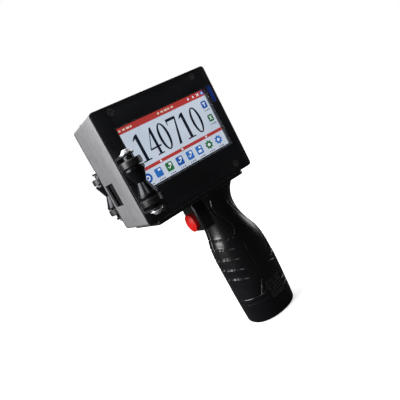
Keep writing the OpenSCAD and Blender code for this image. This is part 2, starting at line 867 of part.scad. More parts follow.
// Openings of one shell for the trigger stem and the battery latch
module shell_cuts(side) {
  stem_room = 1.5;
  latch_in = 10;
  bar_x(stem_r + stem_room, -past, 0, 0, trigger_z);
  span(
    [latch_x[0] - gap, side > 0 ? latch_in : -past, 0],
    [latch_x[1] + gap, side > 0 ? past : -latch_in, latch_z[1] + gap]
  );
}

module left_grip_shell() {
  color("#1a1b1d") difference() {
    grip_half(-1, shell_heights);
    shell_cuts(-1);
  }
}

module right_grip_shell() {
  color("#1a1b1d") difference() {
    grip_half(1, shell_heights);
    shell_cuts(1);
    for (p = grip_spots) bar_y(grip_head_r + gap, 0, past, p[0], p[1]);
  }
}

module grip_posts() {
  color("#2a2b2d") for (p = grip_spots) difference() {
    bar_y(post_r, wall_y(p, -1) + post_end, wall_y(p, 1) - post_end, p[0], p[1]);
    bar_y(grip_screw_r + run, wall_y(p, 1) - post_end - grip_screw_l - 1, wall_y(p, 1) + eps, p[0], p[1]);
  }
}

// Pan heads sunk in the right shell, on the ends of the posts
module grip_screws() {
  color("#3a3b3e") for (p = grip_spots) {
    seat = wall_y(p, 1) - post_end;
    difference() {
      union() {
        bar_y(grip_screw_r, seat - grip_screw_l, seat + 0.3, p[0], p[1]);
        bar_y(grip_head_r, seat, seat + grip_head_h, p[0], p[1]);
      }
      bar_y(1, seat + grip_head_h - 0.9, seat + grip_head_h + eps, p[0], p[1], $fn = 6);
    }
  }
}

module trigger_housing() {
  heights = stations(house_z0 - 2, grip_h, 8);
  color("#1d1e20") difference() {
    intersection() {
      span([house_x, -house_half, house_z0], [house_back, house_half, grip_h]);
      translate([0, 0, house_z0]) linear_extrude(grip_h - house_z0)
        rounded([house_x, -house_half], [house_back, house_half], house_r);
    }
    grip_solid(heights, -0.15);
    bar_x(trigger_r + 0.2, house_x - eps, bore_floor, 0, trigger_z);
    bar_x(stem_r + run, bore_floor - eps, house_back, 0, trigger_z);
  }
}

module trigger_button() {
  lip = 0.3;                       // flat ring round the dome
  ball = (pow(trigger_r - lip, 2) + dome_rise * dome_rise) / (2 * dome_rise);
  cup_r = 6.2;
  color("#c8201c") difference() {
    union() {
      bar_x(trigger_r, button_front, button_back, 0, trigger_z);
      intersection() {
        translate([button_front - dome_rise + ball, 0, trigger_z]) sphere(ball, $fn = 96);
        bar_x(trigger_r, button_front - dome_rise, button_front + eps, 0, trigger_z);
      }
    }
    bar_x(cup_r, button_front + 0.6, button_back + eps, 0, trigger_z);
  }
  color("#c8201c") bar_x(stem_r, button_front, stem_end, 0, trigger_z);
}

spring_r = 4.8;
wire_r = 0.4;
spring_turns = 3.5;
wire_sides = 8;
turn_steps = 20;

// Return spring round the trigger stem
module trigger_spring() {
  xa = button_front + 0.6 + wire_r;
  xb = bore_floor - wire_r;
  n = spring_turns * turn_steps;
  ring = function (i) let (a = 360 * i / turn_steps, x = mix(xa, xb, i / n))
    [for (k = [0:wire_sides - 1]) let (r = spring_r + wire_r * cos(k * 360 / wire_sides))
      [x + wire_r * sin(k * 360 / wire_sides), r * cos(a), trigger_z + r * sin(a)]];
  color("#b8babd") polyhedron(
    points = [for (i = [0:n]) for (p = ring(i)) p],
    faces = concat(
      [[for (k = [wire_sides - 1:-1:0]) k]],
      [[for (k = [0:wire_sides - 1]) n * wire_sides + k]],
      [for (i = [0:n - 1]) for (k = [0:wire_sides - 1])
        [i * wire_sides + k, i * wire_sides + (k + 1) % wire_sides,
          (i + 1) * wire_sides + (k + 1) % wire_sides, (i + 1) * wire_sides + k]]
    )
  );
}

// Microswitch behind the stem, with its three tabs as one strip
module trigger_switch() {
  front = stem_end + trigger_travel + 0.4;
  back = front + 10;
  tab_l = 3;
  color("#2b3f6b") span([front, -3.2, trigger_z - 8], [back, 3.2, trigger_z + 8]);
  color("#2b3f6b") span([back, -1, trigger_z - 5], [back + tab_l, 1, trigger_z + 5]);
}

block_z = tower_z + contact_t + gap;

module terminal_block() {
  color("#33363a") span([-9, -7, block_z], [9, 7, block_z + 8]);
}

module battery_cable() {
  cable_r = 2;
  bend_r = 8;
  top = z0 + 14;
  end_y = board_y + board_t + 5;
  color("#8a1f1f") {
    bar_z(cable_r, block_z + 8, top, cable_x, 0);
    translate([cable_x, -bend_r, top]) rotate([90, 0, 90]) rotate_extrude(angle = 90)
      translate([bend_r, 0]) circle(cable_r);
    bar_y(cable_r, end_y, -bend_r, cable_x, top + bend_r);
  }
}

// Cells stand in a triangle
cell_spots = [
  [-cell_pitch / 2, -cell_pitch * sqrt(3) / 4],
  [cell_pitch / 2, -cell_pitch * sqrt(3) / 4],
  [0, cell_pitch * sqrt(3) / 4]
];

// Outline round the three cells at radius r
module cell_outline(r) {
  for (p = cell_spots) translate(p) circle(r);
  polygon([for (i = [0:2])
    let (a = cell_spots[i], b = cell_spots[(i + 1) % 3], d = (b - a) / norm(b - a), out = [d[1], -d[0]])
    each [a + out * r, b + out * r]]);
}

cap_heights = [0, 0.2, 0.7, 1.5, base_r, 10, 16, 22, cap_h];

module battery_case() {
  color("#1a1b1d") difference() {
    union() {
      difference() {
        grip_solid(cap_heights);
        for (s = [-1, 1]) span(
          [latch_x[0] - gap, s > 0 ? tower_face : -past, latch_z[0] - gap],
          [latch_x[1] + gap, s > 0 ? past : -tower_face, cap_h + eps]
        );
      }
      translate([0, 0, cap_h - 2]) linear_extrude(tower_z - cap_h + 2) cell_outline(tower_out);
    }
    translate([0, 0, cell_floor]) linear_extrude(tower_z - cell_floor - 1) cell_outline(tower_in);
  }
}

module battery_cells() {
  color("#3f7f9c") for (p = cell_spots) bar_z(cell_r, cell_floor, cell_floor + cell_l, p[0], p[1]);
}

module battery_circuit() {
  board_z = cell_floor + cell_l + 0.2;
  color("#1f5c3a") translate([0, 0, board_z]) linear_extrude(board_t) cell_outline(cell_r - 1);
}

module battery_contacts() {
  color("#c9a24b") for (i = [0:3]) span([-8 + i * 4.6, -5, tower_z], [-5.8 + i * 4.6, 5, tower_z + contact_t]);
}

// Side latch that follows the outside of the grip and has a flat back
module battery_latch(side) {
  heights = stations(latch_z[0] - 2, latch_z[1] + 2, 5);
  color("#202124") intersection() {
    grip_solid(heights);
    span(
      [latch_x[0], side > 0 ? latch_back : -past, latch_z[0]],
      [latch_x[1], side > 0 ? past : -latch_back, latch_z[1]]
    );
  }
}

module left_battery_latch() {
  battery_latch(-1);
}

module right_battery_latch() {
  battery_latch(1);
}

front_cover();
back_cover();
housing_frame();
print_plate();
screw_blocks();
front_cover_screws();
back_cover_screws();
screen_frame();
touch_glass();
display_panel();
display_retainer();
main_board();
board_standoffs();
board_chips();
data_port_shell();
data_port_tongue();
cartridge_holder();
ink_cartridge();
cartridge_cap();
nozzle_plate();
contact_block();
cartridge_latch();
latch_pivot();
cartridge_door();
door_hinge_pin();
driver_board();
power_button();
power_button_bezel();
charging_jack();
front_roller_bracket();
rear_roller_bracket();
bracket_screws();
front_axle();
rear_axle();
front_axle_heads();
rear_axle_heads();
front_roller_spool();
rear_roller_spool();
front_roller_tyres();
rear_roller_tyres();
grip_tray();
tray_screws();
left_grip_shell();
right_grip_shell();
grip_posts();
grip_screws();
trigger_housing();
trigger_button();
trigger_spring();
trigger_switch();
terminal_block();
battery_cable();
battery_case();
battery_cells();
battery_circuit();
battery_contacts();
left_battery_latch();
right_battery_latch();
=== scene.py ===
import math

import bpy
import numpy as np
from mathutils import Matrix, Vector


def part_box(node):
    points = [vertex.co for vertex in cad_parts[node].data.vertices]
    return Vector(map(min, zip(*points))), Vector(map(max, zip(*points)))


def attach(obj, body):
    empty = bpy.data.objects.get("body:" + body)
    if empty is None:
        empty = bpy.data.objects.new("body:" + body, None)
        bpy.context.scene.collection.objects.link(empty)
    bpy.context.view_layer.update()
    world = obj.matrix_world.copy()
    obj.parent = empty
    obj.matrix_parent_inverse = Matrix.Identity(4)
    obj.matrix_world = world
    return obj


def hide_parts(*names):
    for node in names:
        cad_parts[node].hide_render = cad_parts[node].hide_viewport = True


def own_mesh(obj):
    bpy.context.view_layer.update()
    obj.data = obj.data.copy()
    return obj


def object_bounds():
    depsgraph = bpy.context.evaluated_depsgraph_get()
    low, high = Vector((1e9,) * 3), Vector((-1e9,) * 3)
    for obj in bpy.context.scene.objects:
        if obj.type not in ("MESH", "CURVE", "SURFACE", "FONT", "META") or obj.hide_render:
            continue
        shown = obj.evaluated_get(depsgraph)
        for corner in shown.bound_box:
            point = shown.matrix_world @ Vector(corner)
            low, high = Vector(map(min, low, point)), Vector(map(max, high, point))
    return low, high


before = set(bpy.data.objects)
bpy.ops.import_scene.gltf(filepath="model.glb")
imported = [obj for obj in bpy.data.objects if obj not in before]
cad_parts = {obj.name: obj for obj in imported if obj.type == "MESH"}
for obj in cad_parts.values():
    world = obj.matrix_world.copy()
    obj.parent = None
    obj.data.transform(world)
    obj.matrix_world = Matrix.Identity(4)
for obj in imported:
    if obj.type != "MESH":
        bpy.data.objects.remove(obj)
cadLow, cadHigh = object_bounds()
mm = 0.001
print("frame loaded:", len(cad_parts), "parts")


def addNode(tree, kind, inputs=None, **settings):
    made = tree.nodes.new("ShaderNode" + kind)
    for key, value in settings.items():
        setattr(made, key, value)
    for key, value in (inputs or {}).items():
        if isinstance(value, bpy.types.NodeSocket):
            tree.links.new(value, made.inputs[key])
        else:
            made.inputs[key].default_value = value
    return made


def maths(tree, operation, first, second):
    return addNode(tree, "Math", {0: first, 1: second}, operation=operation).outputs[0]


def mapRange(tree, value, low, high, toLow=0, toHigh=1):
    ends = {"From Min": low, "From Max": high, "To Min": toLow, "To Max": toHigh}
    return addNode(tree, "MapRange", {"Value": value, **ends}).outputs[0]


def objectPlace(tree):
    return addNode(tree, "TexCoord").outputs["Object"]


def upwardShare(tree, low, high):
    surface = addNode(tree, "NewGeometry")
    parts = addNode(tree, "SeparateXYZ", {0: surface.outputs["Normal"]})
    return mapRange(tree, parts.outputs["Z"], low, high)


def newGroup(name, inputs, outputs):
    tree = bpy.data.node_groups.new(name, "ShaderNodeTree")
    for label, start in inputs.items():
        socket = tree.interface.new_socket(name=label, in_out="INPUT", socket_type="NodeSocketFloat")
        socket.default_value = start
    for label in outputs:
        tree.interface.new_socket(name=label, in_out="OUTPUT", socket_type="NodeSocketFloat")
    return tree, tree.nodes.new("NodeGroupInput").outputs, tree.nodes.new("NodeGroupOutput").inputs


def placeGroup(tree, group, **values):
    made = tree.nodes.new("ShaderNodeGroup")
    made.node_tree = group
    for key, value in values.items():
        made.inputs[key.replace("_", " ")].default_value = value
    return made


def rgba(colour):
    return (colour[0], colour[1], colour[2], 1)


# The effects that the finishes share
def mouldedGrain():
    sizes = {"Grain size": 0.4, "Fine share": 0.5}
    tree, given, out = newGroup("mouldedGrain", sizes, ["Height", "Speckle"])
    place = objectPlace(tree)
    perMetre = maths(tree, "DIVIDE", 1000, given["Grain size"])
    pebbles = addNode(tree, "TexVoronoi", {"Vector": place, "Scale": perMetre}, feature="SMOOTH_F1")
    fine = addNode(tree, "TexNoise", {"Vector": place, "Scale": perMetre, "Detail": 3}).outputs["Fac"]
    both = addNode(tree, "Mix", {0: given["Fine share"], 2: pebbles.outputs["Distance"], 3: fine})
    tree.links.new(both.outputs[0], out["Height"])
    tree.links.new(fine, out["Speckle"])
    return tree


def handlingMarks():
    ranges = {"Patch size": 20, "Low": 0.3, "High": 0.5}
    tree, given, out = newGroup("handlingMarks", ranges, ["Roughness", "Patch"])
    perMetre = maths(tree, "DIVIDE", 1000, given["Patch size"])
    broad = addNode(tree, "TexNoise", {"Vector": objectPlace(tree), "Scale": perMetre, "Detail": 5,
                                       "Roughness": 0.6, "Distortion": 0.6}).outputs["Fac"]
    tree.links.new(mapRange(tree, broad, 0.32, 0.68, given["Low"], given["High"]), out["Roughness"])
    tree.links.new(mapRange(tree, broad, 0.35, 0.65), out["Patch"])
    return tree


def edgeWear():
    tree, given, out = newGroup("edgeWear", {"Width": 0.5, "Amount": 0.5}, ["Mask"])
    soft = addNode(tree, "Bevel", {"Radius": maths(tree, "MULTIPLY", given["Width"], mm)}, samples=4)
    true = addNode(tree, "NewGeometry").outputs["Normal"]
    alike = addNode(tree, "VectorMath", {0: soft.outputs[0], 1: true}, operation="DOT_PRODUCT")
    edge = mapRange(tree, alike.outputs["Value"], 0.985, 0.86)
    chips = addNode(tree, "TexNoise", {"Vector": objectPlace(tree), "Scale": 420, "Detail": 4})
    worn = maths(tree, "MULTIPLY", edge, mapRange(tree, chips.outputs["Fac"], 0.42, 0.6))
    tree.links.new(maths(tree, "MULTIPLY", worn, given["Amount"]), out["Mask"])
    return tree


def fineScratches():
    tree, given, out = newGroup("fineScratches", {"Length": 14, "Amount": 0.5}, ["Mask"])
    place = objectPlace(tree)
    perMetre = maths(tree, "DIVIDE", 1000, given["Length"])
    layers = []
    for turn in ((0.3, 0.9, 0.5), (1.2, 0.2, 2.1)):
        turned = addNode(tree, "Mapping", {"Vector": place, "Rotation": turn, "Scale": (1, 24, 24)})
        hairs = addNode(tree, "TexNoise", {"Vector": turned.outputs[0], "Scale": perMetre, "Detail": 2})
        layers.append(mapRange(tree, hairs.outputs["Fac"], 0.68, 0.74))
    both = maths(tree, "MAXIMUM", layers[0], layers[1])
    tree.links.new(maths(tree, "MULTIPLY", both, given["Amount"]), out["Mask"])
    return tree


def brushedLines():
    stretch = {"Across X": 60, "Across Y": 1400, "Across Z": 1400}
    tree, given, out = newGroup("brushedLines", stretch, ["Streak"])
    along = addNode(tree, "CombineXYZ", {0: given["Across X"], 1: given["Across Y"], 2: given["Across Z"]})
    drawn = addNode(tree, "VectorMath", {0: objectPlace(tree), 1: along.outputs[0]}, operation="MULTIPLY")
    streak = addNode(tree, "TexNoise", {"Vector": drawn.outputs[0], "Scale": 1, "Detail": 4,
                                        "Roughness": 0.65})
    tree.links.new(streak.outputs["Fac"], out["Streak"])
    return tree


def settledDust():
    tree, given, out = newGroup("settledDust", {"Amount": 0.3}, ["Mask"])
    cloud = addNode(tree, "TexNoise", {"Vector": objectPlace(tree), "Scale": 90, "Detail": 6})
    mixed = maths(tree, "MULTIPLY", upwardShare(tree, 0.35, 1), cloud.outputs["Fac"])
    tree.links.new(maths(tree, "MULTIPLY", mixed, given["Amount"]), out["Mask"])
    return tree


# Painted highlight: a mask of the upward-facing surfaces, used to paint them lighter as if lit from above
def paintedTopHighlight():
    tree, given, out = newGroup("paintedTopHighlight", {"Amount": 0.9}, ["Mask"])
    tree.links.new(maths(tree, "MULTIPLY", upwardShare(tree, 0.6, 0.9), given["Amount"]), out["Mask"])
    return tree


grainGroup = mouldedGrain()
marksGroup = handlingMarks()
wearGroup = edgeWear()
scratchGroup = fineScratches()
brushGroup = brushedLines()
dustGroup = settledDust()
paintedTopHighlightGroup = paintedTopHighlight()


def newMaterial(name):
    material = bpy.data.materials.new(name)
    material.use_nodes = True
    return material, material.node_tree, material.node_tree.nodes["Principled BSDF"]


def mixColour(tree, mask, first, second):
    made = addNode(tree, "Mix", {0: mask}, data_type="RGBA")
    for index, colour in ((6, first), (7, second)):
        if isinstance(colour, bpy.types.NodeSocket):
            tree.links.new(colour, made.inputs[index])
        else:
            made.inputs[index].default_value = rgba(colour)
    return made.outputs[2]


def wireShader(tree, shader, colour, roughness, height=None, relief=0, strength=1):
    tree.links.new(colour, shader.inputs["Base Color"])
    tree.links.new(roughness, shader.inputs["Roughness"])
    if height is not None:
        bump = addNode(tree, "Bump", {"Height": height, "Distance": relief * mm, "Strength": strength})
        tree.links.new(bump.outputs[0], shader.inputs["Normal"])


def mouldedFinish(name, look):
    material, tree, shader = newMaterial(name)
    low, high = look["rough"]
    marks = placeGroup(tree, marksGroup, Patch_size=look["patch"], Low=low, High=high)
    grain = placeGroup(tree, grainGroup, Grain_size=look["grain"], Fine_share=0.5)
    wear = placeGroup(tree, wearGroup, Width=look["wearWidth"], Amount=look["wear"])
    scratches = placeGroup(tree, scratchGroup, Length=14, Amount=look["scratches"])
    dust = placeGroup(tree, dustGroup, Amount=look["dust"]).outputs["Mask"]
    colour = mixColour(tree, marks.outputs["Patch"], look["colour"], look["second"])
    colour = mixColour(tree, grain.outputs["Speckle"], colour, look["second"])
    colour = mixColour(tree, wear.outputs["Mask"], colour, look["worn"])
    colour = mixColour(tree, scratches.outputs["Mask"], colour, look["worn"])
    colour = mixColour(tree, dust, colour, (0.20, 0.19, 0.18))
    rougher = maths(tree, "ADD", marks.outputs["Roughness"], dust)
    wireShader(tree, shader, colour, rougher, grain.outputs["Height"], look["relief"], 0.6)
    shader.inputs["Specular IOR Level"].default_value = look["specular"]
    return material


def metalFinish(name, look):
    material, tree, shader = newMaterial(name)
    low, high = look["rough"]
    marks = placeGroup(tree, marksGroup, Patch_size=look["patch"], Low=low, High=high)
    acrossX, acrossY, acrossZ = look["drawn"]
    brush = placeGroup(tree, brushGroup, Across_X=acrossX, Across_Y=acrossY, Across_Z=acrossZ)
    streak = brush.outputs["Streak"]
    scratches = placeGroup(tree, scratchGroup, Length=9, Amount=look["scratches"])
    dust = placeGroup(tree, dustGroup, Amount=look["dust"])
    colour = mixColour(tree, marks.outputs["Patch"], look["colour"], look["second"])
    colour = mixColour(tree, mapRange(tree, streak, 0.35, 0.65), colour, look["second"])
    colour = mixColour(tree, scratches.outputs["Mask"], colour, look["colour"])
    # Edges mixed towards pale metal: partly worn bare metal, partly a painted edge highlight
    if "edge" in look:
        edgeWearAndHighlight = placeGroup(tree, wearGroup, Width=0.35, Amount=look["edge"])
        colour = mixColour(tree, edgeWearAndHighlight.outputs["Mask"], colour, (0.75, 0.76, 0.78))
    # Painted highlight: upward faces are mixed towards a pale grey, standing for light falling on them from
    # above
    if "upward" in look:
        paintedTopHighlightMask = placeGroup(tree, paintedTopHighlightGroup, Amount=look["upward"])
        colour = mixColour(tree, paintedTopHighlightMask.outputs["Mask"], colour, (0.80, 0.81, 0.83))
    colour = mixColour(tree, dust.outputs["Mask"], colour, (0.22, 0.21, 0.20))
    wireShader(tree, shader, colour, marks.outputs["Roughness"], streak, look["relief"], 0.5)
    shader.inputs["Metallic"].default_value = look["metallic"]
    return material


def boardFinish(name, look):
    material, tree, shader = newMaterial(name)
    place = objectPlace(tree)
    marks = placeGroup(tree, marksGroup, Patch_size=12, Low=0.25, High=0.42)
    turned = addNode(tree, "Mapping", {"Vector": place, "Rotation": (math.pi / 2, 0, 0),
                                       "Scale": (260, 260, 260)})
    tracks = addNode(tree, "TexBrick", {"Vector": turned.outputs[0], "Scale": 1, "Mortar Size": 0.035,
                                        "Brick Width": 1.7, "Row Height": 0.28}, offset=0.37)
    pads = addNode(tree, "TexVoronoi", {"Vector": place, "Scale": 330})
    dots = mapRange(tree, pads.outputs["Distance"], 0.2, 0.16)
    colour = mixColour(tree, marks.outputs["Patch"], look["colour"], look["second"])
    colour = mixColour(tree, tracks.outputs["Fac"], colour, look["track"])
    colour = mixColour(tree, dots, colour, (0.55, 0.50, 0.38))
    raised = maths(tree, "MAXIMUM", tracks.outputs["Fac"], dots)
    wireShader(tree, shader, colour, marks.outputs["Roughness"], raised, 0.04, 0.6)
    return material


def glassFinish(name):
    material, tree, shader = newMaterial(name)
    marks = placeGroup(tree, marksGroup, Patch_size=16, Low=0.03, High=0.12)
    smears = placeGroup(tree, scratchGroup, Length=20, Amount=0.12)
    colour = mixColour(tree, marks.outputs["Patch"], (0.93, 0.95, 0.97), (0.86, 0.9, 0.93))
    rougher = maths(tree, "ADD", marks.outputs["Roughness"], smears.outputs["Mask"])
    wireShader(tree, shader, colour, rougher)
    shader.inputs["Transmission Weight"].default_value = 1
    shader.inputs["IOR"].default_value = 1.45
    return material


def displayFinish(name):
    # Each shape's colour is stored on its corners, and a fine grid stands for the dots of the panel
    material, tree, shader = newMaterial(name)
    ink = addNode(tree, "Attribute", attribute_name="inkColour")
    grid = addNode(tree, "TexChecker", {"Vector": objectPlace(tree), "Scale": 5200, "Color1": (1, 1, 1, 1),
                                        "Color2": (0.86, 0.86, 0.86, 1)})
    glow = placeGroup(tree, marksGroup, Patch_size=45, Low=0.9, High=1.0)
    lit = addNode(tree, "Mix", {0: 1.0, 6: ink.outputs["Color"], 7: grid.outputs["Color"]}, data_type="RGBA",
                  blend_type="MULTIPLY")
    even = addNode(tree, "VectorMath", {0: lit.outputs[2], "Scale": glow.outputs["Roughness"]},
                   operation="SCALE")
    tree.links.new(even.outputs[0], shader.inputs["Emission Color"])
    shader.inputs["Emission Strength"].default_value = 1.0
    dark = mixColour(tree, glow.outputs["Patch"], (0.010, 0.011, 0.013), (0.018, 0.019, 0.022))
    rough = placeGroup(tree, marksGroup, Patch_size=30, Low=0.35, High=0.5)
    wireShader(tree, shader, dark, rough.outputs["Roughness"])
    return material


# Each finish gives what differs from the start above it. Sizes are in millimetres
mouldedStart = {"patch": 14, "grain": 0.3, "relief": 0.04, "wear": 0.4, "wearWidth": 0.5,
                "scratches": 0.08, "dust": 0.05, "specular": 0.5}

mouldedLooks = {
    "blackCoat": {"colour": (0.0085, 0.0092, 0.0115), "second": (0.013, 0.0138, 0.0165),
                  "worn": (0.2, 0.2, 0.21), "rough": (0.36, 0.52), "patch": 38, "grain": 0.35,
                  "relief": 0.05, "wear": 0.7, "scratches": 0.1, "dust": 0.1, "specular": 0.35},
    "bracketCoat": {"colour": (0.009, 0.009, 0.01), "second": (0.016, 0.016, 0.018),
                    "worn": (0.3, 0.3, 0.31), "rough": (0.25, 0.42), "patch": 9, "grain": 0.5,
                    "wear": 0.8, "scratches": 0.2, "dust": 0.15},
    "gripPlastic": {"colour": (0.0026, 0.0027, 0.0034), "second": (0.004, 0.0042, 0.005),
                    "worn": (0.06, 0.06, 0.065), "rough": (0.21, 0.31), "patch": 24, "grain": 0.28,
                    "scratches": 0.06, "dust": 0.03, "specular": 0.55},
    "trayPlastic": {"colour": (0.005, 0.0052, 0.006), "second": (0.008, 0.0083, 0.0095),
                    "worn": (0.3, 0.3, 0.31), "wearWidth": 0.6, "rough": (0.28, 0.4), "wear": 0.9},
    "cartridgeBlack": {"colour": (0.0035, 0.0035, 0.0038), "second": (0.006, 0.006, 0.0065),
                       "worn": (0.03, 0.03, 0.03), "rough": (0.4, 0.55), "wear": 0.2, "scratches": 0.06,
                       "dust": 0.02, "specular": 0.25},
    "blackPlastic": {"colour": (0.01, 0.01, 0.011), "second": (0.017, 0.017, 0.019),
                     "worn": (0.07, 0.07, 0.075), "rough": (0.3, 0.45), "relief": 0.05, "scratches": 0.12,
                     "dust": 0.12},
    # latchPlastic: the pale worn colour on its rib edges is partly real wear and partly a painted highlight
    # on the lit crests
    "latchPlastic": {"colour": (0.015, 0.0152, 0.016), "second": (0.021, 0.0212, 0.0225),
                     "worn": (0.16, 0.16, 0.17), "wearWidth": 0.7, "rough": (0.24, 0.36), "patch": 12,
                     "wear": 0.9, "scratches": 0.06},
    "redButton": {"colour": (0.8, 0.02, 0.017), "second": (0.66, 0.013, 0.012), "worn": (0.7, 0.1, 0.08),
                  "rough": (0.34, 0.46), "patch": 7, "grain": 0.4, "relief": 0.02, "wear": 0.2,
                  "scratches": 0.04, "dust": 0.02, "specular": 0.22},
    "rollerRubber": {"colour": (0.006, 0.006, 0.0066), "second": (0.011, 0.011, 0.012),
                     "worn": (0.1, 0.1, 0.1), "rough": (0.28, 0.42), "patch": 5, "grain": 0.5,
                     "relief": 0.06, "wear": 0.6, "scratches": 0.12, "dust": 0.08},
    "boardChips": {"colour": (0.012, 0.012, 0.013), "second": (0.02, 0.02, 0.022),
                   "worn": (0.08, 0.08, 0.08), "rough": (0.4, 0.55), "patch": 4, "wear": 0.2,
                   "scratches": 0.05, "dust": 0.1},
    "portBlue": {"colour": (0.03, 0.14, 0.92), "second": (0.02, 0.1, 0.72), "worn": (0.1, 0.22, 0.85),
                 "rough": (0.25, 0.38), "patch": 5, "relief": 0.03, "wear": 0.3, "scratches": 0.1},
    "cartridgeBlue": {"colour": (0.02, 0.14, 0.24), "second": (0.014, 0.1, 0.18),
                      "worn": (0.12, 0.28, 0.38), "rough": (0.3, 0.42), "patch": 9, "grain": 0.35,
                      "wear": 0.3, "scratches": 0.12, "dust": 0.1},
    "latchRed": {"colour": (0.38, 0.02, 0.025), "second": (0.3, 0.015, 0.018), "worn": (0.5, 0.12, 0.1),
                 "rough": (0.3, 0.42), "patch": 6, "grain": 0.35, "scratches": 0.15, "dust": 0.1},
    "cellWrap": {"colour": (0.04, 0.2, 0.3), "second": (0.03, 0.16, 0.25), "worn": (0.15, 0.3, 0.38),
                 "rough": (0.18, 0.3), "patch": 8, "grain": 0.6, "relief": 0.03, "wear": 0.1},
    "cableRed": {"colour": (0.24, 0.012, 0.012), "second": (0.18, 0.009, 0.009),
                 "worn": (0.35, 0.06, 0.05), "rough": (0.42, 0.55), "patch": 8, "grain": 0.5, "wear": 0.1,
                 "dust": 0.08},
}

metalStart = {"patch": 5, "scratches": 0.15, "dust": 0.08, "relief": 0.02, "metallic": 0.9}

metalLooks = {
    "satinPlate": {"colour": (0.34, 0.34, 0.355), "second": (0.245, 0.245, 0.255), "rough": (0.42, 0.6),
                   "patch": 7, "drawn": (1200, 1200, 90), "scratches": 0.18, "dust": 0.06, "relief": 0.03,
                   "metallic": 0.6},
    # screenTrim: its upward faces get a painted highlight, and its pale edges are partly wear and partly a
    # painted edge highlight
    "screenTrim": {"colour": (0.1, 0.105, 0.12), "second": (0.06, 0.063, 0.072), "rough": (0.28, 0.4),
                   "patch": 12, "drawn": (60, 1500, 60), "scratches": 0.1, "dust": 0.05, "edge": 0.9,
                   "upward": 0.9},
    "chrome": {"colour": (0.93, 0.93, 0.94), "second": (0.84, 0.84, 0.86), "rough": (0.24, 0.36),
               "patch": 3, "drawn": (400, 400, 2500), "scratches": 0.1, "dust": 0.02, "relief": 0.01,
               "metallic": 0.55},
    # coverScrew: its pale edge rim is partly wear and partly a painted highlight ring
    "coverScrew": {"colour": (0.3, 0.3, 0.31), "second": (0.16, 0.16, 0.17), "rough": (0.28, 0.4),
                   "patch": 2, "drawn": (900, 900, 900), "scratches": 0.3, "dust": 0.05, "edge": 0.7},
    "steel": {"colour": (0.56, 0.56, 0.57), "second": (0.42, 0.42, 0.43), "rough": (0.22, 0.36),
              "drawn": (300, 300, 2500), "relief": 0.015, "metallic": 1},
    "darkScrew": {"colour": (0.05, 0.05, 0.055), "second": (0.03, 0.03, 0.034), "rough": (0.28, 0.42),
                  "patch": 2, "drawn": (900, 900, 900), "scratches": 0.3, "dust": 0.1},
    "spoolMetal": {"colour": (0.035, 0.036, 0.04), "second": (0.018, 0.019, 0.021), "rough": (0.2, 0.32),
                   "drawn": (250, 250, 2800), "scratches": 0.25, "dust": 0.1, "metallic": 0.85},
    "brass": {"colour": (0.62, 0.45, 0.18), "second": (0.48, 0.33, 0.12), "rough": (0.25, 0.4),
              "patch": 4, "drawn": (700, 700, 700), "metallic": 1},
    "panelTin": {"colour": (0.44, 0.45, 0.47), "second": (0.34, 0.35, 0.37), "rough": (0.3, 0.42),
                 "patch": 14, "drawn": (80, 1400, 1400)},
}

boardLooks = {
    "boardGreen": {"colour": (0.012, 0.075, 0.035), "second": (0.010, 0.055, 0.028),
                   "track": (0.03, 0.13, 0.06)},
    "boardBlue": {"colour": (0.010, 0.05, 0.14), "second": (0.008, 0.04, 0.11), "track": (0.03, 0.10, 0.22)},
}

finishes = {name: mouldedFinish(name, {**mouldedStart, **look}) for name, look in mouldedLooks.items()}
finishes.update({name: metalFinish(name, {**metalStart, **look}) for name, look in metalLooks.items()})
finishes.update({name: boardFinish(name, look) for name, look in boardLooks.items()})
finishes["screenGlass"] = glassFinish("screenGlass")
finishes["displayInk"] = displayFinish("displayInk")
print("finishes made:", len(finishes))

view = {
    "place": (-0.1957, -0.3420, 0.1912),
    "turn": (80.600, 27.565, -32.249),       # degrees about X, Y and Z
    "focal": 1.01,                           # in widths of the sensor
    "sensor": 36.0,
}

camera = bpy.data.objects.new("camera", bpy.data.cameras.new("camera"))
camera.data.sensor_width = view["sensor"]
camera.data.lens = view["focal"] * view["sensor"]
camera.data.clip_start = 0.01
camera.location = view["place"]
camera.rotation_euler = [math.radians(angle) for angle in view["turn"]]
bpy.context.scene.collection.objects.link(camera)
bpy.context.scene.camera = camera
bpy.context.scene.view_settings.view_transform = "Standard"

lights = {                                   # place, size and watts
    "keyLight": ((-1.1, 0.05, 0.55), (0.9, 0.8), 26),
    "topLight": ((-0.2, 0.5, 1.3), (1.2, 0.8), 12),
    "rimLight": ((0.95, 0.12, 0.30), (0.7, 1.1), 6),
    "frontFill": ((-0.30, -1.0, 1.05), (0.5, 0.35), 2.2),
}


def addSoftLight(name, place, size, watts):
    lamp = bpy.data.lights.new(name, "AREA")
    lamp.shape = "RECTANGLE"
    lamp.size, lamp.size_y = size
    lamp.energy = watts
    made = bpy.data.objects.new(name, lamp)
    made.location = place
    middle = (cadLow + cadHigh) / 2
    made.rotation_euler = (Vector(middle) - Vector(place)).to_track_quat("-Z", "Y").to_euler()
    bpy.context.scene.collection.objects.link(made)


for name, (place, size, watts) in lights.items():
    addSoftLight(name, place, size, watts)

world = bpy.data.worlds.new("studio")
bpy.context.scene.world = world
world.use_nodes = True
sky = world.node_tree
seen = addNode(sky, "LightPath").outputs["Is Camera Ray"]
shade = mixColour(sky, seen, (0.03, 0.03, 0.032), (1, 1, 1))
sky.links.new(shade, sky.nodes["Background"].inputs["Color"])
sky.nodes["Background"].inputs["Strength"].default_value = 1.0


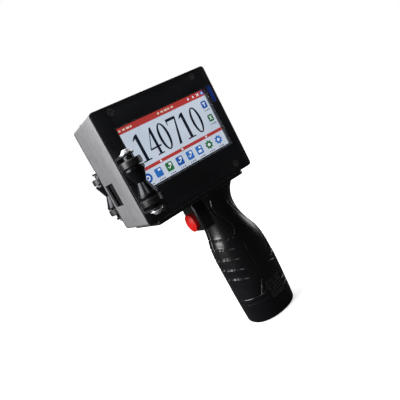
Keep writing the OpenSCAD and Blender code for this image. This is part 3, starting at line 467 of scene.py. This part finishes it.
def floorFinish():
    # The camera sees a lit floor, and the object a dim one
    material, tree, shader = newMaterial("paleFloor")
    marks = placeGroup(tree, marksGroup, Patch_size=300, Low=0.6, High=0.75)
    colour = mixColour(tree, marks.outputs["Patch"], (0.80, 0.80, 0.80), (0.76, 0.76, 0.76))
    wireShader(tree, shader, colour, marks.outputs["Roughness"])
    shader.inputs["Specular IOR Level"].default_value = 0.1
    dim = addNode(tree, "BsdfDiffuse", {"Color": (0.045, 0.045, 0.047, 1)})
    away = addNode(tree, "VectorMath", {0: objectPlace(tree)}, operation="LENGTH")
    rise = mapRange(tree, away.outputs["Value"], 0.25, 1.0, 0.6, 1.0)
    glow = addNode(tree, "Emission", {"Color": (1, 1, 1, 1), "Strength": rise})
    lit = addNode(tree, "AddShader", {0: shader.outputs[0], 1: glow.outputs[0]})
    ray = addNode(tree, "LightPath").outputs["Is Camera Ray"]
    both = addNode(tree, "MixShader", {0: ray, 1: dim.outputs[0], 2: lit.outputs[0]})
    tree.links.new(both.outputs[0], tree.nodes["Material Output"].inputs["Surface"])
    return material


def circle(radius, sides):
    turns = [2 * math.pi * k / sides for k in range(sides)]
    return [(radius * math.cos(a), radius * math.sin(a)) for a in turns]


def addFloor(radius, sides, drop):
    mesh = bpy.data.meshes.new("floor")
    rim = [(x, y, cadLow.z - drop) for x, y in circle(radius, sides)]
    mesh.from_pydata(rim, [], [list(range(sides))])
    mesh.materials.append(floorFinish())
    made = bpy.data.objects.new("floor", mesh)
    bpy.context.scene.collection.objects.link(made)


addFloor(6, 64, 0.2 * mm)
print("camera, lights and floor set")

finishParts = {
    "blackCoat": ("front_cover", "back_cover", "housing_frame", "cartridge_door"),
    "satinPlate": ("print_plate",),
    "steel": ("screw_blocks", "data_port_shell", "latch_pivot", "door_hinge_pin", "front_axle",
              "rear_axle", "trigger_spring"),
    "coverScrew": ("front_cover_screws", "back_cover_screws"),
    "screenTrim": ("screen_frame", "power_button_bezel"),
    "screenGlass": ("touch_glass",),
    "panelTin": ("display_panel",),
    "bracketCoat": ("display_retainer", "front_roller_bracket", "rear_roller_bracket"),
    "boardGreen": ("main_board", "battery_circuit"),
    "brass": ("board_standoffs", "contact_block", "battery_contacts"),
    "boardChips": ("board_chips",),
    "portBlue": ("data_port_tongue",),
    "cartridgeBlack": ("cartridge_holder", "ink_cartridge"),
    "cartridgeBlue": ("cartridge_cap", "trigger_switch"),
    "darkScrew": ("nozzle_plate", "bracket_screws", "tray_screws", "grip_screws"),
    "latchRed": ("cartridge_latch",),
    "boardBlue": ("driver_board",),
    "blackPlastic": ("power_button", "charging_jack", "grip_posts", "terminal_block"),
    "chrome": ("front_axle_heads", "rear_axle_heads"),
    "spoolMetal": ("front_roller_spool", "rear_roller_spool"),
    "rollerRubber": ("front_roller_tyres", "rear_roller_tyres"),
    "trayPlastic": ("grip_tray", "trigger_housing"),
    "gripPlastic": ("left_grip_shell", "right_grip_shell", "battery_case", "left_battery_latch",
                    "right_battery_latch"),
    "redButton": ("trigger_button",),
    "cableRed": ("battery_cable",),
    "cellWrap": ("battery_cells",),
}
partFinish = {name: finish for finish, names in finishParts.items() for name in names}

roundedParts = {                             # width of the rounded edges in millimetres
    0.3: ("front_cover", "back_cover", "cartridge_door", "power_button_bezel", "charging_jack",
          "cartridge_latch", "cartridge_cap", "ink_cartridge"),
    0.25: ("housing_frame", "print_plate", "front_roller_bracket", "rear_roller_bracket"),
    0.12: ("screen_frame",),
    0.5: ("grip_tray", "trigger_housing"),
    0.4: ("power_button",),
    0.2: ("front_roller_spool", "rear_roller_spool"),
    0.15: ("front_axle_heads", "rear_axle_heads"),
}
edgeWidths = {name: width for width, names in roundedParts.items() for name in names}


def finishPart(name, part):
    part.data.materials.clear()
    part.data.materials.append(finishes[partFinish[name]])
    part.data.polygons.foreach_set("use_smooth", [True] * len(part.data.polygons))
    weld = part.modifiers.new("weld", "WELD")
    weld.merge_threshold = 0.002 * mm
    if name in edgeWidths:
        edge = part.modifiers.new("edge", "BEVEL")
        edge.width = edgeWidths[name] * mm
        edge.segments = 2
        edge.limit_method = "ANGLE"
        edge.angle_limit = math.radians(35)
        edge.harden_normals = False
        edge.use_clamp_overlap = True
    split = part.modifiers.new("split", "EDGE_SPLIT")
    split.split_angle = math.radians(32)


for name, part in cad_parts.items():
    finishPart(name, part)
print("parts finished:", len(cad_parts))


def addPiece(name, points, faces, finish, body, replaced=(), smooth=35):
    mesh = bpy.data.meshes.new(name)
    mesh.from_pydata([tuple(p) for p in points], [], faces)
    mesh.materials.append(finishes[finish])
    mesh.polygons.foreach_set("use_smooth", [True] * len(mesh.polygons))
    mesh.set_sharp_from_angle(angle=math.radians(smooth))
    mesh.validate()
    made = bpy.data.objects.new(name, mesh)
    bpy.context.scene.collection.objects.link(made)
    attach(made, body)
    if replaced:
        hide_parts(*replaced)
    return made


def boxMesh(low, high):
    corners = [(x, y, z) for x in (low[0], high[0]) for y in (low[1], high[1]) for z in (low[2], high[2])]
    faces = [(0, 1, 3, 2), (4, 6, 7, 5), (0, 4, 5, 1), (2, 3, 7, 6), (0, 2, 6, 4), (1, 5, 7, 3)]
    return corners, faces


def sheetFaces(start, rows, count, closed=False):
    # Quads over rows of points, closed into a tube or left open
    faces = []
    for low in range(start, start + (rows - 1) * count, count):
        high = low + count
        for k in range(count if closed else count - 1):
            n = (k + 1) % count
            faces.append((low + k, low + n, high + n, high + k))
    return faces


def endFaces(count):
    return [tuple(range(count - 1, -1, -1)), tuple(range(count, 2 * count))]


def rodMesh(start, end, radius, sides=32):
    axis = (Vector(end) - Vector(start)).normalized()
    side = axis.orthogonal().normalized()
    other = axis.cross(side)
    points = []
    for at in (Vector(start), Vector(end)):
        for k in range(sides):
            a = 2 * math.pi * k / sides
            points.append(at + radius * (math.cos(a) * side + math.sin(a) * other))
    return points, endFaces(sides) + sheetFaces(0, 2, sides, closed=True)


def carve(piece, cutters):
    made = []
    for points, faces in cutters:
        mesh = bpy.data.meshes.new("cutter")
        mesh.from_pydata([tuple(Vector(p) * mm) for p in points], [], faces)
        cutter = bpy.data.objects.new("cutter", mesh)
        bpy.context.scene.collection.objects.link(cutter)
        made.append(cutter)
        cut = piece.modifiers.new("cut", "BOOLEAN")
        cut.operation = "DIFFERENCE"
        cut.solver = "EXACT"
        cut.object = cutter
    bpy.context.view_layer.update()
    ready = piece.evaluated_get(bpy.context.evaluated_depsgraph_get())
    carved = bpy.data.meshes.new_from_object(ready)
    piece.modifiers.clear()
    piece.data = carved
    carved.polygons.foreach_set("use_smooth", [True] * len(carved.polygons))
    carved.set_sharp_from_angle(angle=math.radians(35))
    for cutter in made:
        bpy.data.objects.remove(cutter)


grip = {
    # height, front, back and half thickness of each section, in millimetres
    "rows": [(0, -26.6, 26.8, 22.2), (10, -27, 27.6, 22.8), (30, -27.8, 28.8, 23), (55, -28.2, 29.4, 23),
             (72, -28.4, 28.6, 22.7), (86, -27.4, 25.6, 21.4), (98, -24.6, 19.6, 19.4),
             (110, -23.4, 16, 18.2), (122, -23.4, 15.8, 17.8), (131, -24, 19.4, 18.4), (139.5, -25, 26, 20)],
    "power": 2.2,
    "wall": 2.4,
    "bottom": 28.3,
    "levels": 230,
    "steps": 110,
    "nearSeam": (0.006, 0.014),              # extra angles beside the seam
    "innerEvery": 5,                         # outer levels for each inner one
    "stemBore": (120, 4.5),                  # height and radius
    "screws": [(-5, 131), (-2, 101), (23, 47), (-22.5, 47)],
    "screwBore": 2.8,
    "latchWindow": (-5.8, 13.8, 36.3),      # from X, to X, top
    "slots": [95, 85, 74, 62.7, 52.3],       # finger grooves, heights at the front
    "slotDrop": 3.6,
    "slotEnd": -16.8,
    "slotRun": (-28, 11),                    # where they start to fall, and over what length
    "slotWidth": 0.62,
    "slotDepth": 0.85,
    "beadAt": -12.4,                         # end of each groove
    "beadRise": 0.5,
    "stripSink": 0.35,
    "seam": 0.3,                             # width and depth of the line between the shells
    # X and Z of the line in front of the rear strip, from the bottom up
    "strip": [(16.9, 54.6), (20.3, 66.1), (22.5, 76.5), (19.4, 86.9), (17.2, 95), (11.7, 103.6),
              (4.8, 115.6), (1.8, 124.4), (1.1, 133.6)],
}


def gripColumn(z, column):
    rows = grip["rows"]
    i = 0
    while i < len(rows) - 2 and z >= rows[i + 1][0]:
        i += 1
    t = (z - rows[i][0]) / (rows[i + 1][0] - rows[i][0])
    a, b, c, d = (rows[max(0, min(len(rows) - 1, k))][column] for k in (i - 1, i, i + 1, i + 2))
    curve = (2 * a - 5 * b + 4 * c - d) * t * t + (3 * b - a - 3 * c + d) * t ** 3
    return 0.5 * (2 * b + (c - a) * t + curve)


def gripLoop(z, angles, inset):
    front, back, half = (gripColumn(z, column) for column in (1, 2, 3))
    bend = 2 / grip["power"]
    c, s = np.cos(angles), np.sin(angles)
    x = (front + back) / 2 + ((back - front) / 2 - inset) * np.sign(c) * np.abs(c) ** bend
    y = (half - inset) * np.sign(s) * np.abs(s) ** bend
    return np.stack([x, y, np.full_like(x, z)], axis=-1)


def gripSide(x, z):
    front, back, half = (gripColumn(z, column) for column in (1, 2, 3))
    across = min(1, abs(x - (front + back) / 2) / ((back - front) / 2))
    return half * (1 - across ** grip["power"]) ** (1 / grip["power"])


def distanceToLine(x, z, line):
    best = np.full_like(x, 1e9)
    for (ax, az), (bx, bz) in zip(line[:-1], line[1:]):
        dx, dz = bx - ax, bz - az
        t = np.clip(((x - ax) * dx + (z - az) * dz) / (dx * dx + dz * dz), 0, 1)
        best = np.minimum(best, np.hypot(x - ax - t * dx, z - az - t * dz))
    return best


def ditch(distance, width, depth):
    # A groove with a low rounded lip on each side
    lip = 0.2 * np.exp(-((np.abs(distance) - 2 * width) / (0.7 * width)) ** 2)
    return depth * (np.exp(-(distance / width) ** 2) - lip)


gripLines = [
    # points in X and Z, width and depth
    ([(-14.7, 132), (-16.3, 125.6), (-15.6, 118), (-11.4, 110), (-8.2, 102.7), (-7.5, 97.6), (-9.9, 93.5)],
     0.65, 0.8),
    ([(-6, 82), (-8, 74), (-7.6, 64.4), (-6.7, 53.6)], 0.6, 0.7),
    ([(-8.4, 41.5), (-14.8, 28.5)], 0.7, 0.9),
    ([(-6.5, 36.8), (-8.9, 28.5)], 0.7, 0.9),
    ([(5.4, 52.5), (17.5, 49.5)], 0.5, 0.5),
    ([(4.7, 42.4), (12, 40.4)], 0.5, 0.5),
    (grip["strip"], 0.75, 1.0),
]


def gripRelief(points):
    # How far each point of the surface lies inside the plain grip
    x, y, z = points[..., 0], points[..., 1], points[..., 2]
    depth = np.zeros_like(x)
    inFront = 1 / (1 + np.exp((x - grip["slotEnd"]) / 0.35))
    fallFrom, fallOver = grip["slotRun"]
    for top in grip["slots"]:
        line = top - grip["slotDrop"] * np.clip((x - fallFrom) / fallOver, 0, 1) ** 1.2
        depth += ditch(z - line, grip["slotWidth"], grip["slotDepth"]) * inFront
        bead = np.hypot(x - grip["beadAt"], (z - line) / 0.8)
        depth += grip["beadRise"] * np.exp(-bead ** 2)
    for line, width, deep in gripLines:
        depth += ditch(distanceToLine(x, z, line), width, deep) * (np.abs(y) > 4)
    stripX, stripZ = zip(*grip["strip"])
    band = 1 / (1 + np.exp((np.interp(z, stripZ, stripX) - x) / 0.5))
    depth += grip["stripSink"] * band * (z > stripZ[0])
    return depth + ditch(y, grip["seam"], grip["seam"])


def buildShell(name, side, node):
    nearSeam = np.array(grip["nearSeam"])
    steps = np.concatenate([np.linspace(0, math.pi, grip["steps"] + 1), nearSeam, math.pi - nearSeam])
    angles = side * np.unique(steps)
    levels = np.linspace(grip["bottom"], grip["rows"][-1][0], grip["levels"])
    relief = gripRelief(np.stack([gripLoop(z, angles, 0) for z in levels]))
    outer = np.stack([gripLoop(z, angles, relief[k]) for k, z in enumerate(levels)])
    every = grip["innerEvery"]
    innerLevels = np.unique(np.append(levels[::every], levels[-1]))
    inner = np.stack([gripLoop(z, angles, grip["wall"]) for z in innerLevels])
    points = np.concatenate([outer.reshape(-1, 3), inner.reshape(-1, 3)]) * mm
    count, lastOut, lastIn = len(angles), len(levels) - 1, len(innerLevels) - 1
    base = len(levels) * count
    topOut, topIn = lastOut * count, base + lastIn * count
    faces = sheetFaces(0, len(levels), count)
    faces += [face[::-1] for face in sheetFaces(base, len(innerLevels), count)]
    for k in range(count - 1):
        faces.append((base + k, base + k + 1, k + 1, k))
        faces.append((topOut + k, topOut + k + 1, topIn + k + 1, topIn + k))
    for k, order in ((0, 1), (count - 1, -1)):
        for j in range(lastIn):
            strip = [i * count + k for i in range(j * every, min((j + 1) * every, lastOut) + 1)]
            strip += [base + (j + 1) * count + k, base + j * count + k]
            faces.append(tuple(strip[::order]))
    if side < 0:
        faces = [face[::-1] for face in faces]
    shell = addPiece(name, points, faces, "gripPlastic", "printer", (node,))
    low, high, windowTop = grip["latchWindow"]
    sides = (10, 40) if side > 0 else (-40, -10)
    cutters = [boxMesh((low, sides[0], 10), (high, sides[1], windowTop))]
    height, radius = grip["stemBore"]
    cutters.append(rodMesh((-40, 0, height), (0, 0, height), radius))
    if side > 0:
        for x, z in grip["screws"]:
            cutters.append(rodMesh((x, 0.5, z), (x, 40, z), grip["screwBore"]))
    carve(shell, cutters)


buildShell("gripShellLeft", -1, "left_grip_shell")
buildShell("gripShellRight", 1, "right_grip_shell")
print("grip shells built")


battery = {
    "capTop": 28,
    "edge": 2.5,                             # rounded lower edge
    "steps": 150,
    "cellRadius": 9.2,
    "towerRoom": 0.2,
    "towerWall": 1,
    "towerTop": 73,
    "floor": 4,
    "latchPocket": (-5.8, 13.8, 16.7),       # from X, to X, bottom
    "latch": (-5.5, 13.5, 17, 36),           # from X, to X, bottom, top
    "latchBack": 20.05,
    "latchSkin": 0.2,                        # least thickness at its thin edge
    "ribs": 5,
    "ribDepth": 1.6,
    "seam": 22.05,                           # groove round the cap
    "seamHalf": 0.3,
    "seamDepth": 0.5,
    "chamfer": 0.5,                          # at the cap's top
    "levels": [3.4, 4.4, 6, 8, 10, 12, 14, 16, 18, 20, 21.2, 21.5, 21.8, 22.3, 22.6, 22.9, 24, 25.5, 26.6,
               27.3, 27.7],
    "border": 1.6,                           # plain rim round the ribs of a latch
}

cellPitch = 2 * battery["cellRadius"] + 0.2
cellRise = cellPitch * math.sqrt(3) / 4
cellSpots = [(-cellPitch / 2, -cellRise), (cellPitch / 2, -cellRise), (0, cellRise)]
towerOut = battery["cellRadius"] + battery["towerRoom"] + battery["towerWall"]
towerFace = cellRise + towerOut


def cellOutline(radius, sides=20):
    # Goes round the three cells, each corner an arc of a third of a turn
    line = []
    for (x, y), start in zip(cellSpots, (-210, -90, 30)):
        for k in range(sides + 1):
            a = math.radians(start + 120 * k / sides)
            line.append((x + radius * math.cos(a), y + radius * math.sin(a)))
    return line


def prismMesh(outline, low, high):
    points = [(x, y, z) for z in (low, high) for x, y in outline]
    return points, endFaces(len(outline)) + sheetFaces(0, 2, len(outline), closed=True)


def buildBatteryCase():
    edge = battery["edge"]
    rounded = [edge * (1 - math.cos(math.radians(a))) for a in range(0, 91, 10)]
    levels = rounded + battery["levels"] + [battery["capTop"]]
    angles = np.linspace(0, 2 * math.pi, battery["steps"], endpoint=False)
    rings = []
    for z in levels:
        inset = edge - math.sqrt(max(0, edge ** 2 - (edge - z) ** 2)) if z < edge else 0
        if z > battery["capTop"] - battery["chamfer"]:
            inset = z - battery["capTop"] + battery["chamfer"]
        if abs(z - battery["seam"]) < battery["seamHalf"]:
            inset = battery["seamDepth"]
        rings.append(gripLoop(z, angles, inset))
    count = len(angles)
    points = [tuple(p) for ring in rings for p in ring]
    faces = [tuple(range(count - 1, -1, -1))] + sheetFaces(0, len(levels), count, closed=True)
    outline = cellOutline(towerOut)
    last = (len(levels) - 1) * count
    foot = len(points)
    towerTop = battery["towerTop"]
    for z, share in ((battery["capTop"], 1), (towerTop - 0.6, 1), (towerTop, 0.97)):
        points += [(x * share, y * share, z) for x, y in outline]
    n = len(outline)
    faces += sheetFaces(foot, 3, n, closed=True)
    faces.append(tuple(foot + 2 * n + k for k in range(n)))
    # Shoulder between the cap's rim and the foot of the tower
    rim = [math.atan2(y, x) % (2 * math.pi) for x, y, z in points[last:last + count]]
    inside = [math.atan2(y, x) % (2 * math.pi) for x, y, z in points[foot:foot + n]]
    k, m = int(np.argmin(rim)), int(np.argmin(inside))
    usedOut = usedIn = 0
    while usedOut < count or usedIn < n:
        nextOut = rim[(k + 1) % count] + (2 * math.pi if usedOut >= count - 1 else 0)
        nextIn = inside[(m + 1) % n] + (2 * math.pi if usedIn >= n - 1 else 0)
        if usedIn >= n or (usedOut < count and nextOut <= nextIn):
            faces.append((last + k, last + (k + 1) % count, foot + m))
            k = (k + 1) % count
            usedOut += 1
        else:
            faces.append((foot + (m + 1) % n, foot + m, last + k))
            m = (m + 1) % n
            usedIn += 1
    points = [tuple(Vector(p) * mm) for p in points]
    case = addPiece("batteryCase", points, faces, "gripPlastic", "battery",
                    ("battery_case",))
    low, high, bottom = battery["latchPocket"]
    cutters = [boxMesh((low, y0, bottom), (high, y1, 40)) for y0, y1 in ((-40, -towerFace), (towerFace, 40))]
    inner = cellOutline(battery["cellRadius"] + battery["towerRoom"])
    cutters.append(prismMesh(inner, battery["floor"], towerTop - 1))
    carve(case, cutters)


def buildLatch(name, side, body, node):
    x0, x1, z0, z1 = battery["latch"]
    border = battery["border"]
    ribStep = (z1 - z0 - 2 * border) / battery["ribs"]
    across, up = 56, 90
    row = across + 1
    points = []
    for j in range(up + 1):
        z = z0 + (z1 - z0) * j / up
        for i in range(row):
            x = x0 + (x1 - x0) * i / across
            inX, inZ = min(x - x0, x1 - x), min(z - z0, z1 - z)
            rim = max(0, 1.1 - min(inX, inZ)) ** 2 * 0.7
            pad = 1 / (1 + math.exp(-(min(inX, inZ) - border) / 0.15))
            wave = 0.5 + 0.5 * math.cos(2 * math.pi * (z - z0 - border) / ribStep)
            depth = rim + pad * (0.25 + battery["ribDepth"] * wave ** 2)
            reach = max(gripSide(x, z) - depth, battery["latchBack"] + battery["latchSkin"])
            points.append((x * mm, side * reach * mm, z * mm))
    faces = sheetFaces(0, up + 1, row)
    flat = len(points)
    edge = [i for i in range(row)] + [j * row + across for j in range(1, up + 1)]
    edge += [up * row + i for i in range(across - 1, -1, -1)] + [j * row for j in range(up - 1, 0, -1)]
    for at in edge:
        points.append((points[at][0], side * battery["latchBack"] * mm, points[at][2]))
    n = len(edge)
    for k in range(n):
        m = (k + 1) % n
        faces.append((edge[m], edge[k], flat + k, flat + m))
    faces.append(tuple(flat + k for k in range(n - 1, -1, -1)))
    if side > 0:
        faces = [face[::-1] for face in faces]
    addPiece(name, points, faces, "latchPlastic", body, (node,), smooth=50)


buildBatteryCase()
buildLatch("batteryLatchLeft", -1, "left_latch", "left_battery_latch")
buildLatch("batteryLatchRight", 1, "right_latch", "right_battery_latch")
print("battery built")

spring = {
    "coil": 4.8,                             # radius of the coil, in millimetres
    "wire": 0.4,
    "turns": 3.5,
    "front": -34.6,
    "back": -26.0,
    "height": 120,
    "steps": 36,                             # for each turn
    "sides": 10,
    "seat": -25.6,
    "pressed": 0.68,                         # share of its length left when the trigger is in
}


def buildSpring():
    rings = int(spring["turns"] * spring["steps"])
    sides = spring["sides"]
    points = []
    for i in range(rings + 1):
        around = 2 * math.pi * i / spring["steps"]
        along = spring["front"] + (spring["back"] - spring["front"]) * i / rings
        for x, y in circle(spring["wire"], spring["sides"]):
            reach = spring["coil"] + x
            points.append((mm * (along + y), mm * reach * math.cos(around),
                           mm * (spring["height"] + reach * math.sin(around))))
    faces = [tuple(range(sides - 1, -1, -1)), tuple(rings * sides + k for k in range(sides))]
    faces += sheetFaces(0, rings + 1, sides, closed=True)
    outward = [face[::-1] for face in faces]
    coil = addPiece("triggerSpring", points, outward, "steel", "printer", ("trigger_spring",))
    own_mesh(coil)


buildSpring()
print("trigger spring built")


screen = {
    "lit": (-69.0, 28.2, 168.6, 226.2),      # from X, to X, from Z, to Z
    "glassFront": -26.6,
    "glassBack": -25.75,
    "image": -25.66,
    "layer": 0.012,                          # step between the sheets of the picture
    "glassRim": 0.18,
    "red": (0.50, 0.045, 0.040),
    "paper": (0.66, 0.72, 0.82),
    "ink": (0.004, 0.007, 0.018),
    "white": (0.86, 0.90, 0.96),
    "blue": (0.015, 0.10, 0.42),
    "sky": (0.03, 0.17, 0.55),
    "green": (0.02, 0.16, 0.045),
    "grey": (0.05, 0.065, 0.10),
    "cream": (0.78, 0.66, 0.52),
    "offBlack": (0.003, 0.003, 0.004),
    # painted light: a pale strip, glowing in the picture, that stands for the lit walls of the window
    "paintedWallLight": (0.45, 0.47, 0.50),
}

picture = {"points": [], "faces": [], "colours": []}
wide = (screen["lit"][1] - screen["lit"][0]) / (screen["lit"][3] - screen["lit"][2])


def paint(outline, colour, layer):
    # Outline points run from 0 to 1 across and up the lit area
    x0, x1, z0, z1 = screen["lit"]
    start = len(picture["points"])
    y = screen["image"] - layer * screen["layer"]
    for u, v in outline:
        picture["points"].append((mm * (x0 + (x1 - x0) * u), mm * y, mm * (z0 + (z1 - z0) * v)))
    picture["faces"].append(tuple(range(start, start + len(outline))))
    picture["colours"].append(colour)


def bar(u0, u1, v0, v1, colour, layer):
    paint([(u0, v0), (u1, v0), (u1, v1), (u0, v1)], colour, layer)


def softBar(u, v, width, height, corner, colour, layer):
    line = []
    for sx, sy, start in ((1, 1, 0), (-1, 1, 90), (-1, -1, 180), (1, -1, 270)):
        for k in range(5):
            a = math.radians(start + k * 22.5)
            cx, cy = sx * (width / 2 - corner), sy * (height / 2 - corner)
            line.append((u + (cx + corner * math.cos(a)) / wide, v + cy + corner * math.sin(a)))
    paint(line, colour, layer)


def disc(u, v, radius, colour, layer, sides=28):
    paint([(u + x / wide, v + y) for x, y in circle(radius, sides)], colour, layer)


def gear(u, v, radius, teeth, colour, layer):
    ring = []
    for k, (x, y) in enumerate(circle(radius, teeth * 4)):
        share = 1 if k % 4 < 2 else 0.76
        ring.append((u + share * x / wide, v + share * y))
    paint(ring, colour, layer)


def dashes(u, v, count, size, colour, layer):
    for k in range(count):
        long = size * (1.0 + 0.6 * ((k * 7) % 3) / 2)
        left = u + k * size * 1.9 / wide
        bar(left, left + long / wide, v - size * 0.4, v + size * 0.4, colour, layer)


def block(x0, x1, y0, y1):
    return [(x0, y0), (x1, y0), (x1, y1), (x0, y1)]


# Each figure fills a box 1 wide and 1 high with thick stems and thin strokes
figureParts = {
    1: [[(0.38, 0.04), (0.64, 0.04), (0.64, 1), (0.38, 0.96)], block(0.14, 0.88, 0, 0.045),
        [(0.38, 0.96), (0.38, 0.86), (0.14, 0.80), (0.14, 0.84)]],
    4: [[(0.58, 0.04), (0.80, 0.04), (0.80, 1), (0.70, 1), (0.58, 0.84)],
        [(0.02, 0.30), (0.10, 0.30), (0.72, 0.98), (0.68, 1)],
        block(0.02, 0.99, 0.26, 0.32), block(0.40, 0.98, 0, 0.045)],
    7: [block(0.06, 0.96, 0.90, 1), [(0.30, 0), (0.54, 0), (0.96, 0.93), (0.84, 0.93)],
        [(0.06, 0.78), (0.11, 0.78), (0.16, 0.92), (0.06, 0.92)]],
}
zeroSizes = {"ink": (0.46, 0.5), "paper": (0.25, 0.45)}     # half widths and half heights


def bigFigures(figures, u0, u1, v0, v1):
    step = (u1 - u0) / len(figures)

    def place(outline, k, colour, layer):
        left = u0 + k * step + step * 0.03
        paint([(left + x * step * 0.94, v0 + y * (v1 - v0)) for x, y in outline], screen[colour], layer)

    for k, figure in enumerate(figures):
        for outline in figureParts.get(figure, []):
            place(outline, k, "ink", 3)
        if figure == 0:
            for layer, (colour, (halfX, halfY)) in enumerate(zeroSizes.items(), 3):
                oval = [(0.5 + halfX * x, 0.5 + halfY * y) for x, y in circle(1, 32)]
                place(oval, k, colour, layer)


def drawScreen():
    red, white, blue, sky, green = (screen[c] for c in ("red", "white", "blue", "sky", "green"))
    bar(0, 1, 0, 1, screen["paper"], 1)
    bar(0, 1, 0.895, 1, red, 2)
    bar(0, 1, 0.275, 0.325, red, 2)
    # A dark border, and thin strips of painted light along the bottom and right that stand for the lit walls
    # of the window
    bar(0, 1, 0, 0.032, screen["offBlack"], 5)
    bar(0, 1, 0, 0.012, screen["paintedWallLight"], 6)
    bar(0.988, 1, 0, 1, screen["offBlack"], 5)
    bar(0.993, 0.9975, 0.02, 0.93, screen["paintedWallLight"], 6)
    dashes(0.03, 0.945, 4, 0.034, screen["cream"], 3)
    dashes(0.44, 0.945, 5, 0.034, screen["cream"], 3)
    for u in (0.80, 0.86):
        softBar(u, 0.945, 0.028, 0.034, 0.008, white, 3)
    paint([(0.895, 0.925), (0.905, 0.925), (0.935, 0.965), (0.925, 0.970)], white, 3)
    paint([(0.897, 0.965), (0.905, 0.970), (0.934, 0.930), (0.926, 0.925)], white, 3)
    disc(0.968, 0.946, 0.033, sky, 3)
    disc(0.968, 0.946, 0.015, white, 4)
    for u in (0.035, 0.255, 0.50, 0.79):
        disc(u, 0.30, 0.017, white, 3, 12)
    bigFigures([1, 4, 0, 7, 1, 0], 0.085, 0.845, 0.385, 0.815)
    row = [(0.065, "ring", blue), (0.185, "sheet", sky), (0.305, "file", green), (0.425, "file", blue),
           (0.545, "file", sky), (0.66, "disk", sky), (0.78, "gear", green), (0.90, "gear", sky)]
    v = 0.165
    for u, kind, colour in row:
        if kind == "ring":
            disc(u, v, 0.074, colour, 2)
            disc(u, v, 0.040, white, 3)
            disc(u, v, 0.020, colour, 4)
        elif kind == "gear":
            gear(u, v, 0.074, 8, colour, 2)
            disc(u, v, 0.026, white, 3)
        else:
            softBar(u, v, 0.124, 0.138, 0.018, colour, 2)
            softBar(u + 0.012, v + 0.036, 0.045, 0.03, 0.006, white, 3)
            softBar(u, v - 0.022, 0.066, 0.038, 0.008, white if kind == "disk" else colour, 3)
            if kind == "file":
                paint([(u - 0.022, v - 0.005), (u - 0.006, v - 0.034), (u + 0.026, v + 0.018),
                       (u + 0.02, v + 0.024), (u - 0.006, v - 0.014), (u - 0.017, v + 0.004)], white, 4)
        dashes(u - 0.028, 0.056, 3, 0.019, screen["grey"], 2)
    softBar(0.935, 0.765, 0.105, 0.12, 0.02, blue, 2)
    softBar(0.935, 0.79, 0.06, 0.018, 0.005, white, 3)
    softBar(0.935, 0.762, 0.018, 0.06, 0.005, white, 3)
    dashes(0.908, 0.665, 3, 0.020, screen["grey"], 2)
    softBar(0.935, 0.53, 0.10, 0.115, 0.016, green, 2)
    paint([(0.918, 0.565), (0.928, 0.565), (0.952, 0.50), (0.942, 0.50)], white, 3)
    paint([(0.918, 0.50), (0.928, 0.50), (0.952, 0.565), (0.942, 0.565)], white, 3)
    dashes(0.908, 0.43, 3, 0.020, screen["grey"], 2)


def buildScreen():
    drawScreen()
    image = addPiece("screenImage", picture["points"], picture["faces"], "displayInk", "printer")
    ink = image.data.color_attributes.new("inkColour", "FLOAT_COLOR", "CORNER")
    corners = [rgba(colour) for face, colour in zip(picture["faces"], picture["colours"]) for _ in face]
    for corner, colour in zip(ink.data, corners):
        corner.color = colour
    low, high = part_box("touch_glass")
    x0, x1, z0, z1 = (low.x / mm, high.x / mm, low.z / mm, high.z / mm)
    rim = screen["glassRim"]
    rings = [(screen["glassBack"], 0), (screen["glassFront"] + rim, 0), (screen["glassFront"], rim)]
    points = []
    for y, inset in rings:
        for x, z in block(x0 + inset, x1 - inset, z0 + inset, z1 - inset):
            points.append((x * mm, y * mm, z * mm))
    faces = [(3, 2, 1, 0)] + sheetFaces(0, 3, 4, closed=True) + [(8, 9, 10, 11)]
    addPiece("touchGlass", points, faces, "screenGlass", "printer", ("touch_glass",),
             smooth=20)


buildScreen()
print("screen built:", len(picture["faces"]), "shapes")
